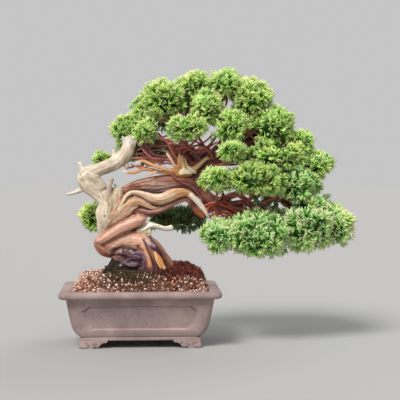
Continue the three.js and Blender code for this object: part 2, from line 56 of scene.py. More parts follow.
# focus and centre are in pixels of the picture's 400 x 400 frame
camera = {"distance": 1660, "height": 274.6, "lens": 101.4, "turnRight": 3.04, "tiltDown": 2.24,
          "focus": 1127, "centre": (140.2, 156)}
studio = {
    "lampDistance": 1500,
    "floor": (0.375, 0.374, 0.371), "sky": (0.56, 0.56, 0.56),
    # where each soft light stands, as seen from the tree, with its strength and spread in degrees
    "key": {"from": (-0.5, -0.85, 1.15), "strength": 3.3, "spread": 22, "colour": (1, 0.975, 0.94)},
    "back": {"from": (0.7, 0.8, 0.8), "strength": 0.7, "spread": 30, "colour": (0.95, 0.98, 1)},
}


def addLight(name, settings):
    spot = np.array(settings["from"]) * studio["lampDistance"]
    bpy.ops.object.light_add(type="SUN", location=inMetres(spot))
    lamp = bpy.context.object
    lamp.name = name
    lamp.rotation_euler = (-Vector(settings["from"])).to_track_quat("-Z", "Y").to_euler()
    lamp.data.energy = settings["strength"]
    lamp.data.angle = math.radians(settings["spread"])
    lamp.data.color = settings["colour"]


bpy.ops.object.camera_add(
    location=inMetres((0, -camera["distance"], camera["height"])),
    rotation=(math.radians(90 - camera["tiltDown"]), 0, math.radians(-camera["turnRight"])))
bpy.context.scene.camera = bpy.context.object
bpy.context.object.data.lens = camera["lens"]
for name in ("key", "back"):
    addLight(name + "Light", studio[name])
world = bpy.data.worlds.new("studioSky")
bpy.context.scene.world = world
world.use_nodes = True
world.node_tree.nodes["Background"].inputs["Color"].default_value = (*studio["sky"], 1)
bpy.context.scene.view_settings.view_transform = "Standard"
bpy.context.scene.view_settings.look = "None"
print("camera and lights are set")


# Small helpers

def clearSelection():
    bpy.ops.object.select_all(action="DESELECT")


def activate(piece):
    clearSelection()
    piece.select_set(True)
    bpy.context.view_layer.objects.active = piece


def applied(piece, kind, **settings):
    activate(piece)
    modifier = piece.modifiers.new(kind.lower(), kind)
    for key, value in settings.items():
        setattr(modifier, key, value)
    bpy.ops.object.modifier_apply(modifier=modifier.name)


def editWhole(piece):
    activate(piece)
    bpy.ops.object.mode_set(mode="EDIT")
    bpy.ops.mesh.select_all(action="SELECT")


def extrude(push):
    bpy.ops.mesh.extrude_region_move(TRANSFORM_OT_translate={"value": push})


def weld():
    # merges points closer than a hundredth of a millimetre
    bpy.ops.mesh.remove_doubles(threshold=0.00001)


def closeEdit(piece):
    # every face is turned outwards, and the points take on the object's own move and turn
    bpy.ops.mesh.select_all(action="SELECT")
    bpy.ops.mesh.normals_make_consistent(inside=False)
    bpy.ops.object.mode_set(mode="OBJECT")
    piece.data.transform(piece.matrix_world)
    piece.matrix_world = Matrix.Identity(4)
    return piece


def addObject(name, mesh):
    piece = bpy.data.objects.new(name, mesh)
    bpy.context.scene.collection.objects.link(piece)
    return piece


def joinPieces(pieces, name):
    activate(pieces[0])
    for piece in pieces:
        piece.select_set(True)
    bpy.ops.object.join()
    pieces[0].name = pieces[0].data.name = name
    return pieces[0]


def smoothShade(piece, angle=None):
    activate(piece)
    if angle is None:
        bpy.ops.object.shade_smooth()
    else:
        bpy.ops.object.shade_smooth_by_angle(angle=math.radians(angle))


def settle(piece, nodes, material):
    piece.data.materials.clear()
    piece.data.materials.append(material)
    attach(piece, "root")
    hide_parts(*nodes)


def colour(code):
    channels = [int(code[k:k + 2], 16) / 255 for k in (1, 3, 5)]
    return np.array([c / 12.92 if c < 0.04045 else ((c + 0.055) / 1.055) ** 2.4 for c in channels])


def newMesh(name, points, faces):
    # faces is an array with three or four corners to a row, points are in millimetres
    points, faces = inMetres(points), np.asarray(faces, np.int32)
    mesh = bpy.data.meshes.new(name)
    mesh.vertices.add(len(points))
    mesh.vertices.foreach_set("co", points.astype(np.float32).ravel())
    mesh.loops.add(faces.size)
    mesh.loops.foreach_set("vertex_index", faces.ravel())
    mesh.polygons.add(len(faces))
    mesh.polygons.foreach_set("loop_start", np.arange(0, faces.size, faces.shape[1], dtype=np.int32))
    mesh.update(calc_edges=True)
    return addObject(name, mesh)


def pointsOf(piece):
    places = np.empty(len(piece.data.vertices) * 3, np.float32)
    piece.data.vertices.foreach_get("co", places)
    return (places.reshape(-1, 3).astype(float) - home) * 1000


def movePoints(piece, points):
    piece.data.vertices.foreach_set("co", inMetres(points).astype(np.float32).ravel())
    piece.data.update()


def normalsOf(piece):
    normals = np.empty(len(piece.data.vertices) * 3, np.float32)
    piece.data.vertices.foreach_get("normal", normals)
    return normals.reshape(-1, 3).astype(float)


def setAttribute(piece, name, kind, field, values):
    attribute = piece.data.attributes.new(name, kind, "POINT")
    attribute.data.foreach_set(field, np.asarray(values, np.float32).ravel())


def setTint(piece, colours):
    filled = np.ones((len(colours), 4), np.float32)
    filled[:, :3] = np.clip(colours, 0, 1)
    setAttribute(piece, "tint", "FLOAT_COLOR", "color", filled)


def setGrain(piece, grain):
    setAttribute(piece, "grain", "FLOAT_VECTOR", "vector", grain)


def takeShape(model):
    # the points and faces of a model that isn't needed any more
    points = np.array([vertex.co for vertex in model.data.vertices])
    faces = np.array([face.vertices for face in model.data.polygons])
    bpy.data.objects.remove(model)
    return points, faces


def stacked(name, shapes):
    # one mesh of many shapes, each with its points and its faces
    faces, start = [], 0
    for points, corners in shapes:
        faces.append(corners + start)
        start += len(points)
    return newMesh(name, np.vstack([points for points, _ in shapes]), np.vstack(faces))


def tinted(name, shapes):
    # the same for shapes that have their colours with them
    piece = stacked(name, [shape[:2] for shape in shapes])
    setTint(piece, np.vstack([np.broadcast_to(tones, points.shape) for points, _, tones in shapes]))
    return piece


def smoothNoise(points, scale, seed=0.0):
    # smooth noise from -1 to 1, with features of about scale millimetres
    return np.array([noise.noise(Vector(p)) for p in np.asarray(points) / scale + seed])


def unit(vectors):
    return vectors / np.maximum(np.linalg.norm(vectors, axis=-1, keepdims=True), 1e-9)


# Node material helpers

def startMaterial(name, rough, specular):
    material = bpy.data.materials.new(name)
    material.use_nodes = True
    shader = material.node_tree.nodes["Principled BSDF"]
    shader.inputs["Roughness"].default_value = rough
    shader.inputs["Specular IOR Level"].default_value = specular
    return material, shader


def addNode(material, kind, links=(), **values):
    node = material.node_tree.nodes.new("ShaderNode" + kind)
    for key, value in values.items():
        if hasattr(node, key):
            setattr(node, key, value)
        else:
            node.inputs[key.replace("_", " ")].default_value = value
    for socket, source in dict(links).items():
        material.node_tree.links.new(source, node.inputs[socket])
    return node


def link(material, source, target):
    material.node_tree.links.new(source, target)


def ramp(material, source, stops):
    node = addNode(material, "ValToRGB", {"Fac": source})
    elements = node.color_ramp.elements
    while len(elements) < len(stops):
        elements.new(0.5)
    for element, (place, value) in zip(elements, stops):
        element.position = place
        level = value if isinstance(value, (tuple, list, np.ndarray)) else (value,) * 3
        element.color = (*level, 1)
    return node.outputs["Color"]


def blended(material, first, second, factor=1.0, way="MULTIPLY"):
    node = addNode(material, "Mix", data_type="RGBA", blend_type=way)
    if isinstance(factor, float):
        node.inputs[0].default_value = factor
    else:
        link(material, factor, node.inputs[0])
    link(material, first, node.inputs[6])
    if isinstance(second, (tuple, list, np.ndarray)):
        node.inputs[7].default_value = (*second, 1)
    else:
        link(material, second, node.inputs[7])
    return node.outputs[2]


def bump(material, shader, height, distance, strength):
    node = addNode(material, "Bump", {"Height": height}, Distance=distance / 1000, Strength=strength)
    link(material, node.outputs["Normal"], shader.inputs["Normal"])


def pointColour(material):
    return addNode(material, "Attribute", attribute_name="tint").outputs["Color"]


def objectPlace(material):
    return addNode(material, "TexCoord").outputs["Object"]


def noiseOver(material, place, scale, detail, rough=0.5):
    node = addNode(material, "TexNoise", {"Vector": place}, Scale=scale, Detail=detail, Roughness=rough)
    return node.outputs["Fac"]


def cellsOver(material, place, scale):
    return addNode(material, "TexVoronoi", {"Vector": place}, Scale=scale).outputs["Distance"]


# Strands of wood: each stop on a route is x, y, z, half width and, where it is flat, half depth

def between(first, second, start, end, t):
    return ((end - t) * first + (t - start) * second) / (end - start)


def smoothRoute(route, step):
    # a centripetal curve through the stops, cut into steps of about one length
    stops = np.array([stop[:3] for stop in route], float)
    widths = np.array([(stop[3], stop[-1]) for stop in route], float)
    padded = np.vstack([2 * stops[0] - stops[1], stops, 2 * stops[-1] - stops[-2]])
    places, radii = [], []
    for k in range(len(stops) - 1):
        four = padded[k:k + 4]
        gaps = np.maximum(np.linalg.norm(np.diff(four, axis=0), axis=1), 1e-6) ** 0.5
        knots = np.concatenate([[0], np.cumsum(gaps)])
        count = max(2, int(round(np.linalg.norm(four[2] - four[1]) / step)))
        last = k == len(stops) - 2
        for share in np.linspace(0, 1, count + last, endpoint=last):
            t = knots[1] + share * (knots[2] - knots[1])
            three = [between(four[i], four[i + 1], knots[i], knots[i + 1], t) for i in range(3)]
            two = [between(three[i], three[i + 1], knots[i], knots[i + 2], t) for i in range(2)]
            places.append(between(*two, knots[1], knots[2], t))
            radii.append(widths[k] + (widths[k + 1] - widths[k]) * share)
    return np.array(places), np.array(radii)


def followRoute(route, step):
    places, radii = smoothRoute(route, step)
    along = unit(np.gradient(places, axis=0))
    deep = np.array([0.0, 1.0, 0.0])
    depths = []
    for direction in along:
        deep = unit(deep - direction * deep.dot(direction))
        depths.append(deep)
    depths = np.array(depths)
    length = np.concatenate([[0], np.cumsum(np.linalg.norm(np.diff(places, axis=0), axis=1))])
    return {"places": places, "radii": radii, "along": along, "deep": depths,
            "side": np.cross(depths, along), "length": length}


def tube(route, step, sides, lump=0.0, seed=0.0):
    path = followRoute(route, step)
    angles = np.arange(sides) / sides * 2 * math.pi
    rings = (path["places"][:, None]
             + path["side"][:, None] * (path["radii"][:, :1, None] * np.cos(angles)[None, :, None])
             + path["deep"][:, None] * (path["radii"][:, 1:, None] * np.sin(angles)[None, :, None]))
    if lump:
        flat = rings.reshape(-1, 3)
        lumpSize = 7 + 6 * path["radii"].mean()
        swell = 1 + lump * smoothNoise(flat, lumpSize, seed).reshape(rings.shape[:2])
        rings = path["places"][:, None] + (rings - path["places"][:, None]) * swell[..., None]
    rows = len(rings)
    ends = [path["places"][0] - path["along"][0] * path["radii"][0, 0] * 0.5,
            path["places"][-1] + path["along"][-1] * path["radii"][-1, 0] * 0.5]
    points = np.vstack([rings.reshape(-1, 3), ends])
    k = np.arange(sides)
    after = (k + 1) % sides
    faces = []
    for row in range(rows - 1):
        a, b = row * sides + k, row * sides + after
        faces.append(np.stack([a, b, b + sides], 1))
        faces.append(np.stack([a, b + sides, a + sides], 1))
    last = (rows - 1) * sides
    faces.append(np.stack([np.full(sides, rows * sides), after, k], 1))
    faces.append(np.stack([np.full(sides, rows * sides + 1), last + k, last + after], 1))
    return points, np.vstack(faces), path


def tubesMesh(name, routes, step, sides, lump=0.0):
    tubes = [tube(route, step, sides, lump, number * 3.1) for number, route in enumerate(routes)]
    return stacked(name, [shape[:2] for shape in tubes])


def fusedMesh(name, strands, voxel, settling):
    # all strands swell into one skin, as wood that grew together
    piece = tubesMesh(name, [route for _, _, route in strands], step=2.5, sides=20, lump=0.1)
    applied(piece, "REMESH", mode="VOXEL", voxel_size=voxel / 1000)
    applied(piece, "SMOOTH", factor=0.5, iterations=settling)
    return piece


def strandOf(points, strands):
    # for every point, the strand it belongs to, the angle round it and the way along it
    count, batch = len(points), 20000
    best = np.full(count, 1e9)
    found = {"strand": np.zeros(count, int), "angle": np.zeros(count), "along": np.zeros(count),
             "size": np.ones(count)}
    for number, (_, _, route) in enumerate(strands):
        path = followRoute(route, step=3.0)
        size = path["radii"].mean(1)
        for start in range(0, count, batch):
            part = slice(start, min(count, start + batch))
            gaps = points[part, None] - path["places"][None]
            nearness = np.linalg.norm(gaps, axis=2) / size[None] ** 0.8
            pick = nearness.argmin(1)
            rows = np.arange(len(pick))
            near = nearness[rows, pick]
            better = near < best[part]
            where = np.arange(part.start, part.stop)[better]
            stop, gap = pick[better], gaps[rows, pick][better]
            best[where] = near[better]
            found["strand"][where] = number
            found["angle"][where] = np.arctan2(
                (gap * path["deep"][stop]).sum(1), (gap * path["side"][stop]).sum(1))
            found["along"][where] = path["length"][stop] + (gap * path["along"][stop]).sum(1)
            found["size"][where] = size[stop]
    return found


def grainCoordinates(found, twist):
    # round the strand and along it, with each strand on its own stretch of the pattern
    turn = found["angle"] + found["along"] * twist
    girth = np.maximum(found["size"], 3)
    return np.stack([np.cos(turn) * girth, np.sin(turn) * girth,
                     found["along"] + 37.0 * found["strand"]], 1)


# Cuts that run with the grain: size across it, how far they are drawn out, depth and shade
# the shade is a painted highlight on the raised flutes, and in the furrows and splits partly their own dark
# and partly painted shade; the streaks are the wood's own tone
grainCuts = {
    "flutes": {"size": 7.5, "drawnOut": 0.13, "seed": 11.0, "depth": 0.9, "shade": 0.30},
    "streaks": {"size": 2.6, "drawnOut": 0.05, "seed": 17.0, "depth": 0.0, "shade": 0.42},
    "furrows": {"size": 3.6, "drawnOut": 0.07, "seed": 5.0, "width": 0.13, "depth": -0.5, "shade": -0.22},
    "splits": {"size": 6.5, "drawnOut": 0.045, "seed": 31.0, "width": 0.055, "depth": -1.1, "shade": -0.40},
}


def carveGrain(piece, found, grain, coarse, strands):
    share = np.array([cut for _, cut, _ in strands])[found["strand"]]
    girth = (found["size"] / 11).clip(0.3, 1.15)
    depth, shade = 0.0, 0.0
    for cut in grainCuts.values():
        level = smoothNoise(grain * np.array([1, 1, cut["drawnOut"]]), cut["size"], cut["seed"])
        if "width" in cut:
            level = (1 - np.abs(level) / cut["width"]).clip(0, 1)
        depth = depth + cut["depth"] * level
        shade = shade + cut["shade"] * level
    movePoints(piece, pointsOf(piece) + normalsOf(piece) * (coarse * share * girth * depth)[:, None])
    return 1 + share * shade


def inView(points):
    # where the picture shows each point
    scale = camera["focus"] / (camera["distance"] + points[:, 1])
    return np.stack([camera["centre"][0] + points[:, 0] * scale,
                     camera["centre"][1] + (camera["height"] - points[:, 2]) * scale], 1)


def fromView(spots, near, far):
    # the places behind picture spots, with the depth running evenly from near to far
    spots, depths = np.array(spots, float), np.linspace(near, far, len(spots))
    scale = (camera["distance"] + depths) / camera["focus"]
    return np.stack([(spots[:, 0] - camera["centre"][0]) * scale, depths,
                     camera["height"] - (spots[:, 1] - camera["centre"][1]) * scale], 1)


def carveLines(piece, tones, lines):
    # creases (negative) and crests (positive) drawn over the front as seen; most of their colours are painted
    # shade in the creases and painted highlights on the crests, the rest grain and tone
    points, normals = pointsOf(piece), normalsOf(piece)
    facing = ((0.25 - normals[:, 1]) / 0.5).clip(0, 1)  # whole in front, none from the sides backwards
    seen = inView(points)
    shift = np.zeros(len(points))
    for stops, width, depth, code, strength in lines:
        stops = np.array(stops, float)
        gap = np.full(len(points), 1e9)
        for a, b in zip(stops, stops[1:]):
            share = (((seen - a) @ (b - a)) / ((b - a) @ (b - a))).clip(0, 1)
            gap = np.minimum(gap, np.linalg.norm(seen - a - share[:, None] * (b - a), axis=1))
        weight = facing * np.exp(-(gap / width) ** 2)
        shift += depth * weight
        tones = tones * (1 - strength * weight[:, None]) + colour(code) * strength * weight[:, None]
    movePoints(piece, points + normals * shift[:, None])
    return tones


def zoned(points, colours, zones, raggedness):
    # patches of another colour with ragged edges
    ragged = smoothNoise(points, 5.5, 3.0) * raggedness
    for centre, reach, code, strength in zones:
        gap = np.linalg.norm((points - np.array(centre)) / np.array(reach), axis=1) + ragged
        weight = (strength * ((1.25 - gap) / 0.6).clip(0, 1))[:, None]
        colours = colours * (1 - weight) + colour(code) * weight
    return colours


# The live wood

liveWood = {
    "voxel": 1.15, "settling": 3, "coarse": 1.1, "twist": 0.006,
    "softening": 40, "raggedness": 0.35, "shading": 1.0, "light": 1.0,
    # a strand is its colour, how deep its grain is cut against the usual depth, and its route
    "trunk": [
        ("#c8917a", 0.5, [
            (0, 5, 78, 36, 28), (-3, 2, 100, 33, 27), (-9, 0, 125, 28, 25), (-19, -2, 141, 22, 21),
            (-38, -3, 147, 16, 17), (-52, -1, 147, 13, 15), (-61, -3, 149, 8)]),
        ("#d8a48c", 0.45, [
            (-63, -5, 150, 5), (-56, -12, 153, 8.5), (-42, -18, 161, 9), (-22, -20, 172.5, 9.6),
            (-8, -18, 179, 10), (2, -14, 182, 8), (7, -10, 185, 4)]),
        ("#946052", 1, [
            (-14, -5, 194, 7), (0, -7, 194, 8), (14, -11, 191, 5.5), (26, -12, 194.5, 4.6),
            (36, -12, 199, 4.4), (47, -12, 204.5, 4.2), (58, -12, 209.5, 4), (68, -12, 212, 4.4),
            (77, -11, 204, 5.2), (86, -9, 193, 6), (95, -9, 186, 6)]),
        # fills the hollow between the arch and the ribbon, and the one behind the ribbon's foot; both are
        # coloured dark as painted shade
        ("#4a2a28", 1, [(-8, -5, 216, 5), (20, -7, 219, 6.5), (42, -7, 223, 6.5), (58, -6, 228, 5)]),
        ("#5e3634", 1, [(-30, -4, 184, 9), (-14, -5, 190, 8), (2, -6, 200, 8), (14, -6, 202, 6)]),
        # closes the gaps behind the coil's end and between the legs; the near-black one between the legs is
        # painted shade
        ("#7c5044", 1, [(-24, 0, 164, 10), (-10, -1, 168, 9.5), (3, -2, 170, 8), (10, -3, 166, 6)]),
        ("#2a1a18", 1, [(22, 0, 132, 8), (34, 0, 116, 8), (42, 0, 98, 9)]),
        ("#94604e", 0.5, [
            (-24, 14, 128, 17, 15), (-38, 15, 152, 14), (-44, 14, 176, 12.5), (-40, 11, 198, 11),
            (-28, 6, 215, 9.5), (-12, 0, 226, 9.5), (5, -2, 231, 10.5), (24, -3, 232, 12),
            (41, -3, 234.5, 11.5), (59, -3, 236, 11), (75, -2, 233, 11), (88, -3, 224, 10),
            (100, -4, 213, 9), (113, -6, 206, 8), (130, -8, 203, 6.5), (150, -10, 200, 5)]),
        ("#a06e5e", 1, [(-30, -6, 130, 16), (-8, -16, 118, 20, 15), (6, -13, 98, 19)]),
        ("#7e4e3e", 1, [
            (3, -4, 155, 9.5), (21.5, -6, 142, 7.8), (33, -8, 129, 7), (42.5, -8, 116, 6.4),
            (48.5, -8, 102, 6), (51, -8, 86, 5)]),
        ("#7c5048", 1, [(4, -14, 142, 11), (14, -19, 122, 9.5), (21, -22, 98, 8.5), (24, -23, 86, 8)]),
        ("#6d4c40", 1, [(-18, -8, 122, 17), (-29, -12, 105, 14), (-36, -14, 88, 12)]),
        ("#6d4838", 1, [(-12, 14, 118, 13), (-27, 24, 102, 10.5), (-36, 30, 84, 9)]),
        ("#6d4838", 1, [(10, 12, 124, 13), (25, 23, 102, 10), (34, 30, 84, 8.5)]),
    ],
    "relief": [
        # the front swells from the bulge at the left over to the right and down
        ("#d49e84", 0.4, [
            (-49, -5, 146, 13, 13), (-33, -8, 148.5, 16.5, 14), (-14, -10, 150.5, 16.5, 14),
            (2, -11, 148.5, 14, 13), (11, -13, 137, 11, 11), (14.5, -16, 120, 8.6, 9.4),
            (17, -20, 98, 7.6, 7.6)]),
        ("#64484e", 1, [(-18, -17, 130, 11, 10), (-7, -20, 124, 14, 12), (2, -18, 116, 11, 11)]),
        ("#5a4452", 1, [(-22, -24, 120, 5), (-13, -28, 117.5, 5.5), (-4, -29, 118, 5)]),
        ("#745a66", 1, [(-16, -26, 127.5, 4.4), (-6, -29, 127, 5), (4, -26, 122, 4.6), (5, -25, 113, 4)]),
        ("#5a4446", 1, [(-34, -16, 112, 8), (-20, -20, 106, 9, 9), (-6, -21, 102, 10), (6, -21, 94, 9)]),
        ("#3a3028", 1, [(-32, -6, 127, 8), (-38, -12, 114, 9.5), (-45, -16, 102, 11), (-53, -18, 84, 12)]),
        ("#40382c", 1, [(-28, -18, 118, 6), (-34, -22, 108, 6), (-42, -24, 97, 6.5), (-50, -24, 84, 7)]),
        ("#332c24", 1, [(-20, -20, 112, 6), (-22, -27, 102, 7), (-24, -31, 92, 8), (-25, -33, 82, 8)]),
        ("#3a3030", 1, [(-2, -20, 108, 6), (-1, -27, 99, 6.5), (0, -31, 90, 7), (0, -33, 82, 8)]),
        ("#6a443c", 1, [(-47, -5, 137, 9.5), (-37, -8, 134, 10), (-24, -12, 130, 9)]),
        ("#b0745c", 0.5, [(-60, -3, 153, 9), (-58, -3, 146, 11), (-52, -3, 138, 11), (-42, -3, 135, 11)]),
        ("#5c3e4c", 1, [(9, -12, 151, 6.5), (20, -14, 139, 5.5), (27, -15, 129, 3.8)]),
        # ribs along the arch
        ("#9a6858", 0.4, [
            (-20, -2, 224, 4), (-4, -4, 232.5, 5.5), (14, -5, 236, 6.5), (34, -6, 239, 6.5),
            (54, -5, 241, 6), (72, -5, 238.5, 5.6), (88, -6, 229, 5), (101, -8, 217, 4)]),
        ("#85605a", 0.4, [
            (-2, -4, 225, 5), (18, -6, 227, 6.4), (36, -6, 229.5, 6.8), (54, -6, 231, 6), (70, -6, 228, 5),
            (84, -8, 218, 4)]),
        ("#75433a", 1, [(2, 6, 237, 4), (26, 8, 241, 5), (52, 8, 243, 5), (76, 8, 239, 4)]),
    ],
    "limbs": [
        [(75, -2, 236, 9), (88, 2, 250, 8.5), (92, 2, 262, 8), (83, 0, 275, 7), (68, -2, 288, 6),
         (60, 0, 302, 5.5), (64, 2, 322, 5), (74, 2, 342, 4), (82, 0, 358, 3)],
        [(88, 0, 246, 7.5), (105, -2, 262, 6.5), (125, -4, 268, 6), (150, -6, 272, 5), (178, -6, 277, 4),
         (205, -6, 282, 3.2), (236, -6, 286, 2.4)],
        [(92, -10, 192, 6), (106, -13, 199, 6), (128, -16, 194, 5.5), (145, -18, 188, 5),
         (165, -20, 184, 4.2), (192, -18, 184, 3.4), (226, -18, 180, 2.8), (262, -10, 176, 2.2)],
        [(128, -12, 203, 4), (150, -20, 207, 3.2), (166, -22, 200, 3), (184, -20, 207, 3),
         (203, -18, 213, 2.8), (218, -16, 204, 2.5), (240, -14, 196, 2)],
        [(86, -4, 262, 4.4), (60, -12, 263, 3.2), (50, -15, 275, 2.6), (38, -16, 296, 2.3),
         (26, -15, 304, 2.1), (20, -13, 330, 1.9)],
        [(70, -6, 266, 3), (40, -12, 273, 2.2), (20, -16, 276, 2), (8, -16, 285, 1.8), (2, -18, 298, 1.6)],
        [(90, 2, 262, 5), (108, -12, 283, 3.2), (118, -22, 297, 2.6), (114, -26, 330, 2)],
        [(82, 3, 250, 9), (70, 1, 265, 9), (60, -1, 276, 7.5), (51, -4, 285, 4.5), (44, -6, 292, 2)],
        [(54, 8, 270, 7), (78, 10, 277, 8), (100, 8, 277, 7), (122, 6, 270, 4.5)],
        [(96, 0, 262, 5.5), (125, -4, 282, 4), (154, -6, 291, 3.4), (178, -10, 303, 3),
         (172, -8, 340, 2.2)],
        [(84, 4, 266, 6), (72, 18, 282, 4.5), (46, 32, 290, 3.4), (26, 40, 308, 2.8), (14, 42, 326, 2)],
        [(-36, 14, 190, 6), (-50, 26, 206, 4.5), (-66, 34, 224, 3.4), (-77, 40, 246, 2.8),
         (-66, 44, 264, 2)],
        [(-42, 18, 166, 6), (-56, 30, 172, 3.4), (-72, 42, 182, 2)],
        [(96, 2, 208, 6), (92, 22, 196, 4.5), (76, 42, 186, 3.2), (58, 52, 178, 2.4)],
        [(112, -2, 206, 6), (132, 18, 214, 5), (160, 36, 220, 4), (190, 46, 222, 3), (220, 48, 224, 2.2)],
        [(130, 18, 210, 4.5), (146, 36, 192, 3.2), (166, 44, 176, 2.4)],
        [(108, 0, 264, 6), (130, 20, 280, 4.5), (158, 36, 294, 3.4), (182, 43, 300, 2.4)],
    ],
    "branches": [
        # the open tangle between the arch and the crown, then the strands at the lower right
        [(60, -10, 258, 2.6), (49, -15, 275, 2.4), (46, -16, 286, 2.2), (38, -16, 296, 2),
         (26, -15, 302, 1.8), (14, -14, 313, 1.6), (0, -14, 317, 1.2)],
        [(62, -12, 262, 2.6), (36, -20, 269, 2.2), (17, -22, 272, 2), (8, -22, 279, 1.8),
         (1, -20, 289, 1.7), (-2, -18, 297, 1.4)],
        [(74, -2, 284, 2.4), (53, -6, 291, 2.2), (29, -8, 289, 1.9), (11, -10, 294, 1.6),
         (-2, -12, 300, 1.2)],
        [(82, -2, 272, 3), (95, -10, 283, 2.6), (87, -20, 298, 2.2), (80, -35, 309, 1.8)],
        [(60, -5, 285, 2), (76, -16, 288, 1.8), (88, -20, 289, 1.8), (99, -22, 282, 1.8),
         (107, -20, 269, 1.4)],
        [(95, 0, 266, 3.4), (109, -12, 283, 2.8), (119, -22, 295, 2.4), (127, -32, 308, 1.8)],
        [(95, 0, 264, 3.4), (125, -4, 280, 2.8), (154, -6, 289, 2.4), (179, -8, 301, 2),
         (193, -12, 313, 1.6)],
        [(58, -6, 262, 2), (44, -7, 268, 1.7), (26, -10, 267, 1.6), (8, -8, 272, 1.5), (-12, -6, 271, 1.2)],
        [(52, -10, 268, 2.2), (38, -12, 281, 2), (20, -10, 283, 1.7), (4, -8, 279, 1.4), (-10, 4, 276, 1)],
        [(70, -6, 286, 2.4), (66, -18, 298, 2), (60, -30, 306, 1.8), (52, -40, 312, 1.4)],
        [(100, -4, 262, 3), (118, -20, 262, 2.2), (130, -36, 268, 1.8), (134, -48, 276, 1.4)],
        [(112, -4, 262, 2.6), (136, -22, 262, 2.2), (160, -34, 266, 1.8), (184, -40, 270, 1.4)],
        [(96, -8, 232, 2.4), (104, -28, 234, 1.8), (108, -42, 238, 1.4)],
        [(100, -8, 226, 3), (124, -24, 228, 2.4), (148, -40, 234, 2), (164, -50, 240, 1.4)],
        [(112, -10, 212, 3), (144, -26, 218, 2.4), (180, -34, 226, 2), (214, -36, 234, 1.5)],
        [(92, -12, 196, 2.2), (104, -20, 204, 2), (113, -22, 195, 1.8), (129, -22, 191, 1.8),
         (136, -22, 185, 1.4)],
        [(104, -14, 184, 2), (115, -22, 190, 1.8), (124, -24, 193, 1.8), (134, -24, 190, 1.4),
         (150, -30, 178, 1)],
        [(137, -24, 222, 2.4), (147, -24, 213, 2.4), (159, -22, 208, 2.4), (172, -22, 200, 2.2),
         (184, -22, 207, 2), (193, -22, 210, 2), (203, -22, 214, 1.8), (209, -22, 204, 1.6),
         (226, -22, 197, 1.2)],
        [(120, -20, 224, 1.6), (123, -22, 210, 1.4), (119, -20, 200, 1.2)],
        [(169, -24, 220, 1.3), (182, -26, 217, 1.3), (196, -26, 214, 1.1)],
        [(205, -22, 216, 1.3), (214, -24, 213, 1.2), (224, -24, 202, 1)],
        [(126, -8, 208, 4.4), (142, -14, 198, 3.8), (158, -18, 194, 3.4), (168, -20, 192, 2.6)],
    ],
    # thin twigs: their spots in the picture, the depth at both ends and the half width
    "pictureTwigs": [
        ([(157.5, 136.5), (163, 140), (170.5, 141), (173.6, 148), (176, 158), (178, 166)], (-16, -8), 2.0),
        ([(133, 158), (143, 158.7), (152, 158), (160, 164), (166, 163), (175, 165)], (-6, -10), 1.4),
        ([(137, 141), (141, 147), (146, 153), (150, 160), (158, 163)], (-8, -12), 1.3),
        ([(138, 150), (146, 147), (158, 146), (167, 146), (174, 150)], (-8, -14), 1.3),
        ([(179, 149), (189, 147), (200, 145.6), (204, 149), (212, 142)], (-12, -20), 1.3),
        ([(181, 141), (189, 149.5), (196.5, 152.5), (207, 150)], (-20, -12), 1.2),
        ([(171, 174.5), (179, 181), (190, 186), (197, 192.5), (204, 203)], (-16, -16), 1.0),
        ([(226, 200), (238.4, 195.5), (247.3, 199), (254.5, 205.4), (259, 206.7), (264.3, 202.7),
          (273.2, 199), (281, 196)],
         (-14, -26), 1.9),
        ([(278.6, 195.5), (282, 202.7), (287.5, 207), (295.5, 209), (301, 206)], (-24, -22), 1.4),
        ([(279.5, 196.4), (287.5, 198.2), (292.9, 205.4), (297, 210)], (-26, -22), 1.2),
        ([(250, 192), (256.3, 192.9), (265.2, 195), (273.2, 198.7)], (-26, -24), 1.2),
        ([(259, 206), (263.4, 205.4), (271.4, 208), (275, 213)], (-22, -26), 1.0),
        ([(214, 203), (225, 203), (234, 208), (242.9, 210), (256, 213)], (-12, -28), 3.0),
        ([(204, 212), (211.8, 216), (218, 211.5), (225, 213), (233, 221)], (-12, -34), 1.5),
        ([(206, 208), (212, 213), (219, 217), (226, 216.5), (234, 210)], (-12, -26), 1.3),
        ([(243, 166), (247, 153), (253, 157), (262, 164)], (-22, -34), 1.3),
        ([(246, 164), (249, 161), (255, 156), (263, 154)], (-24, -34), 1.1),
        ([(240, 146), (242, 130), (249, 135), (256, 133), (265, 140)], (-14, -26), 1.3),
        ([(238, 150), (244, 141), (250, 134), (260, 128)], (-16, -26), 1.4),
        ([(246, 127), (252, 137), (264, 143)], (-20, -24), 1.0),
        ([(262, 148), (272, 146.5), (280, 149), (290, 152)], (-14, -24), 1.6),
        ([(270, 150), (276, 140), (281, 144), (290, 142)], (-16, -22), 1.1),
        ([(213, 126), (219, 117), (222, 119), (227, 121)], (-22, -18), 1.3),
        ([(205, 152), (208, 149), (212, 143), (216, 137), (222, 130)], (-12, -24), 1.7),
        ([(190, 154), (197, 150), (203, 146), (209, 147), (217, 142)], (-10, -24), 1.3),
        ([(197, 133), (199, 137), (203, 143), (207, 150)], (-28, -14), 1.0),
        ([(166, 128), (176, 119), (181, 112), (188, 104)], (-12, -6), 1.5),
        ([(176, 103), (178, 108), (183, 114), (187, 124)], (-8, -16), 1.2),
        ([(166, 118), (170, 117), (176, 113), (184, 109)], (-14, -8), 1.1),
        ([(231, 88), (227, 94), (227, 101), (224, 110)], (-4, -12), 1.8),
        ([(152, 126), (155, 124), (160, 122), (170, 118)], (-14, -10), 1.4),
        ([(129, 168), (138, 166), (147, 168), (157, 172)], (4, -4), 1.2),
        ([(131, 164.5), (141, 168), (150, 166), (160, 169)], (0, -6), 1.1),
        ([(143, 139), (147, 146), (152, 152), (158, 157)], (-12, -12), 1.1),
        ([(182, 154), (190, 146), (196, 140), (201, 132)], (-6, -22), 1.7),
        ([(184, 142), (194, 141), (202, 145), (212, 151)], (-14, -8), 1.5),
